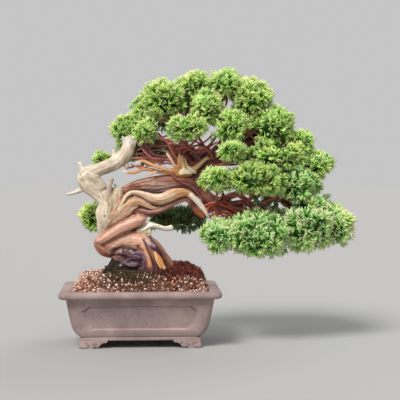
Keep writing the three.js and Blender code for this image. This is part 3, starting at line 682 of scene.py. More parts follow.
        ([(205, 159), (212, 150), (218, 144), (223, 136)], (-8, -26), 1.9),
        ([(186, 150), (196, 146), (206, 141), (214, 133)], (-2, -14), 1.4),
        ([(160, 140), (166, 136), (172, 137), (180, 144)], (-12, -8), 1.3),
        ([(122, 149), (132, 153), (142, 154.5), (153, 160)], (20, -6), 1.2),
    ],
    "redTwigs": [
        ([(200, 208), (211, 203.6), (223.5, 205.8), (236.9, 212.5), (241, 217)], (-16, -34), 1.5),
        ([(206, 212.5), (211.2, 205.8), (216.8, 210.8), (223.5, 217), (227, 220.5)], (-16, -34), 1.5),
        ([(214, 216), (222.4, 211.5), (228, 212), (234, 218)], (-20, -36), 1.6),
        ([(210, 218), (219, 214.5), (227, 216.5)], (-16, -34), 1.3),
        ([(222, 194), (224.6, 200.2), (227, 206)], (-26, -22), 1.2),
        ([(243, 203), (247, 209), (249.5, 214)], (-24, -30), 1.2),
        ([(209, 203.4), (215.7, 201.9), (220.4, 198.3)], (-18, -30), 0.9),
    ],
    "redTones": ["#d2603a", "#c4502e", "#e07c4c", "#b8443a", "#b8504c", "#b4484a", "#ffe6c0"],
    "branchGirth": 0.78,
    # of each kind of limb: the step along it, the sides round it, how lumpy it is and its colours
    "kinds": {
        "limbs": (4.0, 10, 0.16, "tones"), "branches": (4.0, 8, 0.18, "twigTones"),
        "pictureTwigs": (4.0, 6, 0.12, "twigTones"), "redTwigs": (4.0, 6, 0.12, "redTones"),
        "padTwigs": (5.0, 6, 0.15, "twigTones"), "fanTwigs": (7.0, 4, 0.1, "twigTones"),
    },
    # pale colour of bark wear, also laid on as painted highlights on the limbs
    "barkWearAndHighlight": "#b98a7c",
    "tones": ["#7c4c48", "#8a5248", "#8e504c", "#84484a", "#985848"],
    "twigTones": ["#b05c58", "#a4585c", "#b86854", "#9c5a64", "#bc6052"],
    "zones": [
        # centre, reach, colour, strength: bruised knob, mossy foot, polished bulge, painted shade in the
        # hollows, and painted highlights, shadow and sheen
        ((-6, -32, 125), (18, 16, 17), "#6e5058", 0.8),
        # painted shadow under the front, above the knob
        ((-24, -26, 131), (14, 14, 9), "#5c4240", 0.7),
        ((-8, -30, 105), (26, 16, 7), "#3a2e30", 0.85),
        ((-36, -22, 112), (14, 18, 13), "#2e2620", 0.9),
        ((-42, -16, 99), (16, 18, 13), "#28281c", 0.95),
        ((-10, -30, 94), (34, 18, 8), "#2c2a20", 0.95),
        ((-36, -26, 103), (5, 9, 4), "#4c4a24", 0.7),
        ((-22, -30, 99), (7, 9, 3), "#34402c", 0.7),
        # painted highlights on the hollow above the knob and on the foot
        ((-13, -26, 138), (3.2, 9, 2.0), "#e6dcd8", 0.8),
        ((-29, -24, 137), (2.4, 9, 3.4), "#b8a4a4", 0.6),
        ((-22, -24, 138.5), (3.2, 9, 2.0), "#c8a890", 0.5),
        ((-29.5, -26, 116), (2.2, 9, 1.6), "#e8d8dc", 0.85),
        ((17, -26, 112), (8, 10, 14), "#7c4e4c", 0.6),
        ((-53, -12, 138), (13, 16, 10), "#ad6c52", 0.7),
        ((-58, -10, 150), (8, 14, 9), "#c79c8c", 0.6),
        ((4, -24, 152), (16, 12, 8), "#e8bda4", 0.6),
        ((-16, -24, 151), (16, 12, 7), "#dfae94", 0.6),
        ((-44, -18, 148), (12, 10, 6), "#d8a68e", 0.5),
        ((14, -22, 130), (6, 10, 14), "#cf916c", 0.6),
        ((20, -18, 141), (7, 10, 6), "#4c3040", 0.7),
        ((30, -18, 134), (6, 8, 5), "#5a3c44", 0.6),
        # painted shade in the hollow between the legs
        ((36, -14, 112), (4, 12, 12), "#1c1210", 0.9),
        ((28, -14, 104), (4, 14, 14), "#2c1c1a", 0.6),
        ((40, -16, 124), (7, 9, 9), "#a8785e", 0.6),
        ((86, -14, 191), (9, 9, 8), "#b0622c", 0.75),
        ((77, -14, 203), (6, 9, 6), "#5a3020", 0.7),
        ((48, -14, 112), (5, 8, 8), "#b88468", 0.6),
        ((34, -16, 130), (5, 9, 5), "#6c4048", 0.6),
        ((32, -20, 102), (12, 14, 6), "#4a3c34", 0.7),
        # painted sheen along the arch
        ((30, -12, 226), (30, 10, 4), "#8f7876", 0.55),
        ((22, -14, 237), (16, 10, 3), "#a08a78", 0.5),
        ((70, -12, 236), (16, 10, 7), "#5c3028", 0.6),
        ((-10, -12, 229), (10, 10, 6), "#7c5040", 0.5),
        ((90, -12, 228), (14, 10, 10), "#5e342c", 0.7),
        ((12, -14, 192), (9, 10, 7), "#6a4040", 0.7),
    ],
    "lines": [
        # painted shadow under the coil and under the front, painted highlights along the coil, its streaks,
        # and painted shade in the gap above it
        ([(102.5, 245.5), (111.7, 240.4), (122, 234.6), (133.5, 230), (140.4, 227.7)],
         1.2, -1.4, "#6a3c30", 0.6),
        ([(110, 251), (116, 249), (122, 248.4), (130, 249.6), (137, 250.4)], 1.4, -1.6, "#33242a", 0.8),
        ([(112, 255.4), (118, 254.6), (125, 256.6)], 1.5, -2.0, "#1c1414", 0.9),
        ([(100, 240), (108.2, 233.2), (119.7, 226.6), (131.2, 221.7), (140, 220)],
         2.2, 0.3, "#e0b8a4", 0.5),
        ([(103.6, 240.4), (115.1, 232.3), (128.9, 225.4)], 0.7, -0.3, "#a8705a", 0.4),
        ([(106, 236), (117, 228), (130, 221.5), (139, 219)], 0.8, 0.2, "#e6c4b0", 0.4),
        ([(99, 237.5), (108, 229.5), (118, 223.4), (128, 218.6), (136, 215.6)], 0.8, -0.9, "#7a4a38", 0.6),
        # grain over the front, with a painted highlight across it, painted shade along its lower edge,
        # painted shade under the bulge and a painted highlight on the bulge's left edge
        ([(108.2, 250.7), (115.1, 243.8), (124.3, 239.2), (133.5, 238), (140.4, 240.4), (145, 247.2)],
         1.8, 0.5, "#f0ccb8", 0.6),
        ([(110.5, 247.2), (117.4, 240.4), (128.9, 234.6), (139.2, 234.6), (146.1, 239.2)],
         0.6, -0.5, "#b57a60", 0.55),
        ([(113, 245), (121, 239.4), (131, 236.6), (140, 238), (145.5, 243)], 0.5, -0.4, "#c0846a", 0.5),
        ([(104, 247.5), (111.7, 242.4), (120, 237.4), (129, 233.6), (137, 232)], 0.7, -0.5, "#a8664e", 0.5),
        ([(112, 253), (117, 249.2), (122, 246.4), (128.9, 247), (135, 250)], 1.3, -1.4, "#3c2a36", 0.75),
        ([(97, 244), (101, 250), (106, 254), (112, 253)], 1.0, -0.6, "#7a4434", 0.5),
        ([(96, 241), (99, 246), (104, 250)], 0.9, 0.3, "#d8a58c", 0.5),
        # painted shade in the crevice at the right, and a painted highlight on the crest beside it
        ([(144.4, 240.4), (147.2, 247.2), (151.3, 255.3), (153.6, 263.3), (155.3, 270.2)],
         1.4, -3.0, "#2c1824", 0.9),
        ([(139.2, 242.7), (144.4, 249.5), (147.8, 257.6), (150.1, 266.8)], 1.8, 1.1, "#dc9a70", 0.8),
        ([(136, 246), (141.5, 251), (145.5, 258)], 0.7, -1.0, "#8a5448", 0.6),
        # painted shade in the folds of the knob and under it, and painted highlights on the folds
        ([(124, 259.2), (129.3, 257), (134.5, 257.6), (138, 259)], 0.8, -1.4, "#241a28", 0.85),
        ([(126.5, 262.4), (132.2, 260.2), (137.9, 261.6), (141, 260)], 0.9, -1.5, "#201824", 0.85),
        ([(133, 253.6), (138, 251.4), (143.7, 253.5), (146.5, 257)], 1.0, 0.7, "#a88490", 0.7),
        ([(131, 255.2), (136.5, 253.8), (141.5, 256), (142.5, 260.5), (139.5, 264)],
         0.8, -1.2, "#30243a", 0.8),
        ([(142.6, 255.8), (145.4, 258.6), (143.6, 262.6)], 1.0, 0.5, "#80707c", 0.6),
        ([(128.7, 264.9), (133.3, 266.2), (137.2, 264.7)], 0.9, 0.5, "#7c6e7c", 0.6),
        ([(121, 263), (124.6, 261.6), (127, 264), (130.5, 267.6)], 0.8, 0.5, "#786a74", 0.7),
        ([(117, 262), (120.5, 267.6), (127, 269.4), (136, 269), (141.5, 266.4)], 1.2, -1.4, "#1e1a1c", 0.8),
        ([(119, 259), (123, 256.8), (128, 254.4)], 0.8, -0.9, "#4a3030", 0.7),
        ([(144, 263), (147, 266), (146.6, 270)], 0.9, 0.3, "#a0605c", 0.6),
        # painted highlights along the tops of the legs and painted shade below them
        ([(146.5, 240), (150, 243.5), (154, 246)], 1.5, 0.3, "#d8bac4", 0.65),
        ([(151, 236.5), (160, 246), (168, 255), (174, 263)], 1.0, 0.4, "#c09078", 0.6),
        ([(149, 246.5), (155, 250), (160, 254)], 1.6, -0.6, "#4c2c38", 0.75),
        ([(160, 256), (165, 261), (170, 266)], 1.2, -0.8, "#5c3828", 0.6),
        # painted highlights and sheen along the arch, and painted shade in its folds and under it
        ([(124, 188), (131, 181.5), (140, 178), (150, 176.4), (161, 175.6), (172.5, 176.6)],
         1.7, 0.4, "#c89478", 0.7),
        ([(128.9, 187), (138.1, 183.4), (149.5, 181.2), (163.3, 181.4), (174.8, 181), (186.3, 184)],
         0.8, -0.6, "#603830", 0.6),
        ([(142, 184), (152, 183.4), (163, 184), (172, 185)], 1.1, 0.2, "#b08c7c", 0.6),
        ([(150, 179.4), (160, 178.4), (170, 178.6), (178, 181)], 0.8, 0.0, "#8a5448", 0.5),
        ([(134, 182.6), (143, 180.2), (154, 179.8)], 0.8, 0.1, "#d0a48c", 0.5),
        ([(152, 185.2), (160, 184.6), (168, 184.8)], 0.6, 0.1, "#d8bcae", 0.6),
        ([(143, 187.4), (156.4, 188.3), (167, 187.4), (174, 185.6)], 1.2, 0.3, "#b0958c", 0.65),
        ([(138, 186.8), (150, 186.2), (163.3, 186), (172.5, 184.5)], 0.6, -0.5, "#5a342c", 0.6),
        ([(140.4, 190.4), (151.8, 192.1), (163.3, 192.7), (170.2, 191)], 1.2, -0.3, "#2e1a1a", 0.7),
        ([(124, 188), (131, 187), (138, 187.5)], 0.7, -1.0, "#5a342c", 0.6),
        ([(176, 179), (184, 183), (192, 189), (198, 196)], 0.9, -1.2, "#4a2824", 0.7),
        # a painted highlight along the top of the vein below the ribbon, and painted shade under it
        ([(141, 209.5), (150, 211.5), (158.7, 210.5), (167.9, 208.8), (175.9, 204.2), (184, 200.2)],
         1.0, 0.4, "#bb9080", 0.6),
        ([(136, 211), (143, 215), (152, 215.4), (163, 213), (172, 209)], 1.0, -0.8, "#4c302c", 0.6),
    ],
}

foliage = {
    # centre and half-size to the tips, as in the solids
    "pads": {
        "left_shoulder": ((-11, 30, 308), (36, 26, 30)), "left_front": ((11, -21, 310), (18, 17, 18)),
        "crown_left": ((35, -10, 357), (33, 37, 31)), "apex_left": ((80, 0, 376), (29, 32, 24)),
        "upper_middle": ((98, -30, 345), (25, 26, 26)), "apex_right": ((127, -5, 378), (31, 34, 25)),
        "upper_right": ((164, -8, 358), (34, 38, 32)), "centre": ((66, -48, 315), (33, 26, 20)),
        "centre_right": ((132, -42, 318), (26, 28, 25)), "right_shoulder": ((191, -18, 319), (37, 38, 31)),
        "outer_right": ((234, -8, 293), (24, 31, 21)), "right_end": ((257, -5, 261), (31, 38, 23)),
        "inner": ((131, -56, 280), (23, 22, 17)), "inner_right": ((196, -42, 275), (45, 32, 25)),
        "middle_left": ((110, -52, 240), (29, 26, 18)), "middle": ((167, -58, 243), (44, 32, 27)),
        "middle_right": ((225, -38, 235), (33, 36, 28)), "low_left": ((115, -45, 162), (30, 32, 25)),
        "low_middle": ((168, -50, 162), (51, 42, 36)), "low_right": ((238, -28, 176), (48, 46, 44)),
        "low_right_end": ((284, -5, 171), (34, 41, 35)), "back_left_small": ((-58, 45, 268), (17, 19, 12)),
        "back_left_low": ((-73, 45, 183), (16, 25, 23)), "back_low": ((57, 55, 180), (46, 30, 21)),
        "back_middle": ((12, 50, 281), (40, 28, 20)), "back_crown": ((90, 42, 353), (38, 34, 26)),
        "back_right": ((184, 45, 304), (54, 38, 40)), "back_low_right": ((218, 48, 226), (60, 38, 34)),
        "back_top_left": ((18, 45, 338), (38, 32, 28)), "back_far_right": ((173, 46, 170), (51, 36, 29)),
    },
    "headRadius": 17, "headArea": 450, "headSpread": 0.62, "tuftsPerHead": 7, "tipReach": (0.84, 1.2),
    "gapArea": 40, "gapWidth": 2.35, "buriedShare": 0.68,
    "shootLength": 16, "shootRadius": 0.95, "sprigs": 3, "tuftKinds": 5,
    # half widths of the twig that carries a pad, and of the thin ones that fan out inside it
    "twigSizes": (2.6, 2.2, 1.7), "fanSizes": (1.3, 1.1, 0.7), "fanTwigs": 9,
    # small heads outside the ovals: pad, place and radius
    "extraHeads": [
        ("inner", (106, -38, 302), 11), ("low_right_end", (310, -5, 158), 12),
        ("low_right", (210, -30, 138), 13), ("low_right", (232, -30, 141), 13),
        ("low_right", (196, -34, 141), 12), ("low_right", (250, -28, 146), 12),
        ("low_right_end", (268, -12, 147), 11), ("low_right_end", (273, 0, 207), 11),
        ("right_end", (266, -8, 277), 11), ("back_top_left", (-3, 24, 357), 12),
        ("left_shoulder", (-20, 16, 331), 9), ("left_shoulder", (-31, 18, 327), 9),
        ("left_shoulder", (-31, 20, 298), 11), ("crown_left", (4, -6, 362), 9),
        ("right_shoulder", (222, -14, 330), 9), ("outer_right", (252, -8, 289), 8),
        ("low_right_end", (277, 0, 214), 8), ("low_left", (90, -46, 158), 10)],
    # where the picture looks through to the twigs: middle and half-size in its frame
    "windows": [
        ((228, 102), (4.5, 6)), ((184, 117), (4, 7)), ((160, 129), (5.5, 6)), ((204, 140), (5, 7)),
        ((180, 107), (5, 4)), ((252, 134), (9, 5)), ((255, 158), (6, 4.5)), ((281, 143), (6, 5)),
        ((221, 118.5), (3, 2.5)), ((256, 199), (7, 5)), ((283, 205), (14, 5)), ((146, 149), (12, 5)),
        ((236, 165), (6, 3)), ((223, 199), (6, 5)), ((108.5, 143.5), (7, 8)), ((337, 250), (10, 5.5)),
        ((255, 262), (10, 3.5))],
    # painted light and shade of a pad, where it differs from the usual: painted shade on the back pads,
    # painted light on the lower and upper ones
    "usualLight": 1.07,
    "paintedPadLight": {
        "back_low": 0.42, "back_middle": 0.7, "back_far_right": 0.8, "back_right": 0.85, "low_left": 1.14,
        "low_middle": 1.2, "low_right": 1.45, "low_right_end": 1.45, "middle_right": 1.15,
        "apex_left": 1.17, "apex_right": 1.17, "crown_left": 1.14, "upper_right": 1.16,
        "upper_middle": 1.16},
    "longPads": {"low_middle": 1.05, "low_right": 1.1, "low_right_end": 1.1},
    "coolPads": ("low_left", "low_middle", "low_right", "low_right_end", "back_low", "back_far_right",
                 "middle_right", "back_low_right"),
    # deep, middle and tip colours of the shoots, the deep one partly painted shade, and the core's dark
    # green, which is painted shade
    "warm": ("#447a1a", "#a2ee4c", "#f0ffac"), "cool": ("#367a24", "#98f062", "#eaffba"), "core": "#2a5614",
}

goldenTurn = 2.4  # about the golden angle


def padTwig(centre, reach):
    # the twig that carries a pad, from the nearest limb
    target = np.array([centre[0], centre[1], centre[2] - 0.25 * reach[2]])
    places = np.vstack([smoothRoute(route, 6)[0] for route in liveWood["limbs"]])
    nearest = places[np.linalg.norm(places - target, axis=1).argmin()]
    sag = 0.08 * np.linalg.norm(nearest - target)
    middle = (nearest + target) / 2 - np.array([0, 0, sag])
    return [(*place, size) for place, size in zip((nearest, middle, target), foliage["twigSizes"])]


def fanTwigs(centre, reach, dice):
    # thin shoots that fan out from the twig's end to the pad's skin
    routes = []
    foot = np.array([centre[0], centre[1], centre[2] - 0.35 * reach[2]])
    for number in range(foliage["fanTwigs"]):
        turn = number * goldenTurn + dice.random()
        rise = dice.uniform(-0.55, 0.5)
        way = np.array([math.cos(turn) * math.cos(rise), math.sin(turn) * math.cos(rise), math.sin(rise)])
        end = np.array(centre) + way * np.array(reach) * 0.78
        middle = foot + (end - foot) * 0.5 + np.array([0, 0, -0.12]) * np.linalg.norm(end - foot)
        middle += np.array([dice.uniform(-2, 2) for _ in range(3)])
        routes.append([(*place, size) for place, size in zip((foot, middle, end), foliage["fanSizes"])])
    return routes


def pictureTwig(spots, depths, width):
    # a twig through spots of the picture, thinner towards its end
    places = fromView(spots, *depths)
    return [(*place, width * (1.15 - 0.4 * number / len(spots))) for number, place in enumerate(places)]


def softened(piece, colours, rounds):
    # lets the colours of neighbouring points run into one another towards the back
    weight = 0.7 * ((pointsOf(piece)[:, 1] - 2) / 8).clip(0, 1)[:, None]
    edges = np.empty(len(piece.data.edges) * 2, np.int32)
    piece.data.edges.foreach_get("vertices", edges)
    edges = edges.reshape(-1, 2)
    here, there = np.concatenate([edges, edges[:, ::-1]]).T
    count = np.maximum(np.bincount(here, minlength=len(colours))[:, None], 1)
    for _ in range(rounds):
        around = np.stack([np.bincount(here, channel, len(colours)) for channel in colours[there].T], 1)
        colours = colours + weight * (around / count - colours)
    return colours


def carvedWood(name, strands, settings):
    # strands grown into one skin, cut along the grain, and coloured by strand, by zone and by line, with
    # painted highlights and painted shade among the zones and lines
    piece = fusedMesh(name, strands, settings["voxel"], settings["settling"])
    found = strandOf(pointsOf(piece), strands)
    grain = grainCoordinates(found, settings["twist"])
    shade = carveGrain(piece, found, grain, settings["coarse"], strands)
    tones = np.array([colour(tone) for tone, _, _ in strands])[found["strand"]]
    tones = softened(piece, tones, settings["softening"])
    tones = zoned(pointsOf(piece), tones, settings["zones"], settings["raggedness"])
    # the grain's painted highlights and painted shade, with its streaks, lighten and darken the colours here
    shading = settings["shading"]
    tones = tones * (settings["light"] * (1 - shading + shading * shade))[:, None]
    tones = carveLines(piece, tones, settings["lines"])
    setTint(piece, tones)
    setGrain(piece, grain)
    smoothShade(piece)
    return piece


def makeLimb(route, number, step, sides, lump, tones):
    points, faces, path = tube(route, step, sides, lump, number * 1.7)
    limb = newMesh("limb", points, faces)
    row = (np.arange(len(points)) // sides).clip(0, len(path["length"]) - 1)
    angle = (np.arange(len(points)) % sides) / sides * 2 * math.pi
    size = path["radii"][row, 0]
    along = path["length"][row] + number * 53.0
    setGrain(limb, np.stack([np.cos(angle) * size, np.sin(angle) * size, along], 1))
    # pale patches of bark wear, which also stand as painted highlights on the limbs
    patches = smoothNoise(points, 9.0, 2.0)[:, None]
    wearAndHighlight = patches.clip(0, 1)
    tone = colour(tones[number % len(tones)]) * (1 + 0.35 * patches) * (1 - 0.4 * wearAndHighlight)
    setTint(limb, tone + colour(liveWood["barkWearAndHighlight"]) * 0.45 * wearAndHighlight)
    smoothShade(limb)
    return limb


def makeLiveWood():
    pieces = [carvedWood("liveWood", liveWood["trunk"] + liveWood["relief"], liveWood)]
    thinned = [[(*stop[:3], max(1.0, stop[3] * liveWood["branchGirth"])) for stop in route]
               for route in liveWood["branches"]]
    dice, pads = random.Random(5), foliage["pads"].values()
    routes = {
        "limbs": liveWood["limbs"], "branches": thinned,
        "pictureTwigs": [pictureTwig(*twig) for twig in liveWood["pictureTwigs"]],
        "redTwigs": [pictureTwig(*twig) for twig in liveWood["redTwigs"]],
        "padTwigs": [padTwig(*pad) for pad in pads],
        "fanTwigs": [route for pad in pads for route in fanTwigs(*pad, dice)],
    }
    for kind, (step, sides, lump, tones) in liveWood["kinds"].items():
        for number, route in enumerate(routes[kind]):
            pieces.append(makeLimb(route, number, step, sides, lump, liveWood[tones]))
    return joinPieces(pieces, "liveWood")


# The deadwood

# how deadwood is carved where a piece doesn't say otherwise
deadCarving = {"settling": 2, "twist": 0.01, "softening": 0, "raggedness": 0.25, "shading": 0.65,
               "light": 1.0, "lines": []}
deadwood = {
    "voxel": 1.0, "coarse": 1.1, "light": 0.92,
    "strands": [
        ("#d8c8b2", 0.6, [
            (-58, -10, 157, 3), (-56, -10, 166, 7), (-52, -9, 178, 11.5), (-50, -7, 190, 15.5, 12),
            (-47, -4, 202, 13.5, 12), (-53, -1, 213, 13, 12), (-63, 0, 222, 12), (-75, 0, 231, 12.5),
            (-81, 1, 241, 12.5), (-74, 2, 250, 10.5), (-62, 2, 254, 9.5), (-45, 1, 260, 10),
            (-31, 0, 268, 11), (-20, 0, 280, 10.5), (-16, 0, 290, 10, 8), (-14.5, 0, 297, 10.5, 6.5),
            (-14.5, -1, 301, 10.5, 5)]),
        ("#d2c2a8", 0.45, [(-44, -7, 193, 11, 9), (-35, -8, 210, 9.5, 8), (-31, -7, 226, 6)]),
        ("#cfc0a6", 0.45, [(-44, -6, 200, 10, 8), (-39, -6, 214, 10, 7), (-36, -5, 226, 7, 5)]),
        ("#d6c6b0", 1, [(-31, -6, 220, 4), (-34, -7, 228, 2.4), (-38, -7, 234, 1)]),
        ("#cdbdaa", 0.5, [
            (-48, -6, 203, 6.4, 6), (-47.5, -9, 213, 5.6, 5), (-46, -12, 224, 4.2, 4),
            (-43.6, -13, 235, 3.8, 3.6), (-42, -13, 242, 4.4, 3.6)]),
        ("#e3d9c4", 1, [(-82, 0, 227, 5), (-94, -2, 221.5, 2.8), (-108, -4, 218, 1.7)]),
        ("#e3d9c4", 1, [
            (-80, 0, 246, 6.5), (-85, 0, 255, 3.6), (-88.5, 0, 261, 2.4), (-92.5, 0, 266, 1.2)]),
        ("#e3d9c4", 1, [(-86, 0, 256, 2.4), (-86.5, 0, 262, 1.8), (-87.5, 0, 268, 1)]),
        # fills the loop so that only a small hole is left
        ("#dacab6", 0.5, [(-78, 0, 240, 10), (-72, 0, 232, 12), (-60, -1, 222, 11), (-48, -2, 213, 10)]),
        ("#d4c4ae", 0.5, [
            (-80, -2, 247, 9), (-71, -2, 243.5, 9.5), (-63, -2, 236.5, 8.5), (-56, -3, 225, 9)]),
        ("#d0bea6", 0.5, [(-50, -6, 214, 8), (-44, -7, 207, 9), (-40, -8, 196, 9), (-42, -8, 184, 7)]),
        ("#e6dcc8", 1, [(-36, 0, 264, 6), (-38, 0, 275, 4), (-38.5, 0, 283, 3.2)]),
        ("#d2c2ae", 1, [(-26, 0, 270, 6), (-20, -2, 260, 3.4), (-19, -2, 255, 2)]),
        ("#e2d6ca", 1, [(-20, 0, 292, 5), (-24, 0, 299, 2.6), (-26, 0, 304, 1.4)]),
        ("#f0e8e0", 1, [(-13, -2, 294, 8, 4), (-8.5, -2, 299, 7, 3), (-6, -2, 302.5, 4.4, 2)]),
        ("#ddc0a4", 0.6, [
            (-54, -8, 166, 5, 5), (-50, -8, 174, 10, 7), (-40, -10, 184, 11, 6), (-26, -11, 193, 11, 6),
            (-14, -11, 199, 8.5, 5), (-4, -10, 203, 5, 4)]),
        # the ribbon: a broad light sheet above, a tan one below, and the dark brown body behind them
        ("#9a6c50", 1, [
            (-46, -8, 190, 12, 7), (-32, -9, 201, 11, 5), (-20, -9, 210, 9, 4), (-2, -9, 212, 8, 3.5),
            (14, -9, 207, 7, 3.5), (28, -10, 206, 7, 4), (42, -11, 212, 7, 4), (57, -12, 218, 6, 4),
            (70, -12, 217, 5, 4), (80, -12, 208, 4.5, 3.5), (90, -12, 196, 4, 3)]),
        ("#d4b49a", 0.7, [
            (-44, -10, 190, 5), (-33, -14, 200, 4.4), (-26, -16, 208, 3.4), (-20, -17, 217, 3.2),
            (-11.5, -17, 221.4, 3.2), (-2, -17, 220, 4.4, 3.6), (8.5, -17, 216.4, 6, 3.8),
            (20, -17, 212.4, 7.4, 4), (31.8, -17, 211.6, 8.4, 4), (41.3, -17, 215.2, 8.8, 4),
            (50.8, -17, 219.2, 8.2, 4), (60.4, -17, 221, 6.6, 4), (69.8, -17, 220, 5, 3.6),
            (82, -17, 209.6, 4.2, 3), (91.7, -17, 198.6, 3.9, 2.8), (100.4, -16, 185, 2.4, 2)]),
        ("#cda686", 0.8, [
            (-46, -12, 184, 7, 5), (-34, -14, 193, 8.6, 4.4), (-23.7, -15, 201, 8.4, 4),
            (-14.9, -15, 207.5, 8, 3.8), (-4.7, -15, 210, 7.4, 3.6), (4.1, -15, 207, 6.6, 3.4),
            (12.9, -15, 201.8, 4.6, 2.8), (21.6, -15, 198.6, 2.8, 2.4), (29, -14, 200, 1.6, 1.6)]),
    ],
    "zones": [
        ((-10, -20, 213), (11, 8, 2.4), "#b08460", 0.5),
        ((4, -20, 209), (12, 8, 2.6), "#bb9070", 0.5),
        ((22, -20, 204), (9, 8, 2.2), "#9a6a50", 0.5),
        ((-28, -20, 192), (14, 8, 8), "#dcc0a4", 0.5),
        ((-34, -18, 214), (3, 8, 8), "#c98a54", 0.6),
        ((-30, -20, 200), (10, 8, 7), "#e0c4a4", 0.5),
        ((30, -20, 216), (18, 8, 4), "#dcbc9c", 0.6),
        ((30, -20, 207), (20, 8, 3), "#a07a60", 0.5),
        ((66, -20, 222), (13, 8, 5), "#c68c58", 0.8),
        ((56, -20, 213), (12, 8, 3), "#a06844", 0.6),
        ((88, -20, 201), (9, 8, 11), "#eadfca", 0.8),
        ((-52, -22, 187.5), (2.2, 9, 1.6), "#6b4a34", 0.9),
        ((-44, -22, 171), (4, 9, 3), "#8a5c38", 0.85),
        ((-40, -20, 184), (5, 9, 5), "#c2a47c", 0.5),
        ((-46, -14, 196), (5, 8, 10), "#c9bb98", 0.6),
        ((-40, -14, 206), (4, 8, 9), "#b9a888", 0.5),
        ((-84, -10, 240), (4, 8, 3), "#8f7a62", 0.6),
        ((-66, -12, 240), (9, 8, 5), "#b9aa90", 0.45),
        ((-50, -10, 250), (14, 7, 3), "#b5a488", 0.5),
        ((-22, -8, 268), (4, 8, 6), "#a89878", 0.5),
        ((-16, -8, 296), (7, 9, 9), "#e8dcd0", 0.7),
        ((-58, -12, 226), (5, 8, 5), "#c4a892", 0.5),
        ((-74, -12, 228), (6, 8, 5), "#c9b19c", 0.5),
        ((-56, -16, 178), (4, 8, 8), "#cdb49c", 0.5),
        ((-44, -18, 214), (5, 8, 9), "#ccae92", 0.5),
        ((-12, -6, 288), (3, 8, 3), "#a8967a", 0.5),
        ((-34, -8, 270), (8, 8, 8), "#e9dfcc", 0.5),
        ((77, -20, 216), (1.1, 6, 1.1), "#241a16", 1.0),
        ((82, -20, 209), (1.1, 6, 1.1), "#241a16", 1.0),
        ((87, -20, 202), (0.9, 6, 0.9), "#241a16", 1.0),
    ],
    "lines": [
        # body and loop
        ([(115.1, 211.7), (117.4, 205.9), (122, 197.9), (125.4, 193.3)], 0.9, -1.3, "#b0643a", 0.7),
        ([(99, 208.2), (100.2, 217.4), (102.5, 228.9)], 0.6, -0.6, "#b0a084", 0.45),
        ([(108.2, 197.9), (109.4, 208.2), (109.4, 219.7)], 0.7, -0.8, "#a8906c", 0.5),
        ([(112.8, 189), (113.4, 201.3), (111.7, 211.7)], 0.8, -1.1, "#94805e", 0.55),
        ([(104, 196), (103.5, 207), (105, 214)], 0.6, -0.6, "#b5a482", 0.45),
        ([(92, 176.5), (98, 174.4), (106, 171.5), (115.1, 168)], 0.7, -0.5, "#b8a88c", 0.4),
        ([(97.9, 178.4), (108.2, 173.8), (119.7, 170.3), (126, 164)], 0.9, -0.7, "#a89878", 0.5),
        ([(80.7, 173.8), (84.1, 183), (94.4, 189.8), (104, 192)], 0.8, -0.8, "#b0a084", 0.5),
        ([(92, 187), (99, 186), (104, 189)], 0.7, -0.4, "#b0a084", 0.35),
        ([(82, 176), (88, 171), (97, 167)], 0.9, 0.4, "#f4ecdc", 0.5),
        # the edges and folds of the ribbon: a painted highlight along its upper crest, painted shade in its
        # folds and under it, and the colours of its bands
        ([(119, 209), (122.3, 203), (126, 196.5), (131, 192), (138, 191.5), (146, 193.5), (154, 196),
          (162, 195)],
         1.1, 0.5, "#f2e2c8", 0.55),
        ([(124.6, 203.4), (128.4, 197.4), (134.5, 195.4), (140, 197.4), (146.8, 201.6), (154.4, 206),
          (161.3, 208), (167.4, 205.2), (173.6, 201.8), (180, 199.2), (186, 197)],
         0.7, -0.9, "#7c4c36", 0.75),
        ([(150, 198), (158, 201.5), (166, 201), (174, 197), (181, 194.5)], 0.7, -0.6, "#c09068", 0.5),
        ([(164, 204), (170, 200.5), (176, 197)], 0.6, -0.5, "#a8744c", 0.5),
        ([(170, 191.5), (178, 190), (185, 191.5)], 1.6, 0.2, "#d09a64", 0.6),
        ([(178, 196), (184, 194.5), (188, 195)], 1.6, -0.3, "#b87440", 0.6),
        ([(121, 213), (126, 207), (132, 203), (139, 202.5), (146, 205), (153, 208.5), (159, 208.5)],
         0.7, -0.5, "#b98052", 0.5),
        ([(127, 204), (134, 199.5), (140, 200.5), (147, 205)], 0.7, -0.4, "#e8ceb0", 0.5),
        ([(130, 207), (136, 205.4), (142, 206)], 0.6, -0.3, "#b87e50", 0.5),
        ([(116, 217), (122, 211), (128, 206.5)], 0.6, -0.4, "#b98458", 0.45),
        ([(133, 213.5), (136, 210), (140.5, 208.4), (145.5, 209.5), (150.5, 212.6)],
         1.1, -1.2, "#5c3430", 0.8),
        ([(191, 195), (198, 203), (205, 211), (208, 217)], 1.8, 0.3, "#f8f0e2", 0.8),
    ],
}
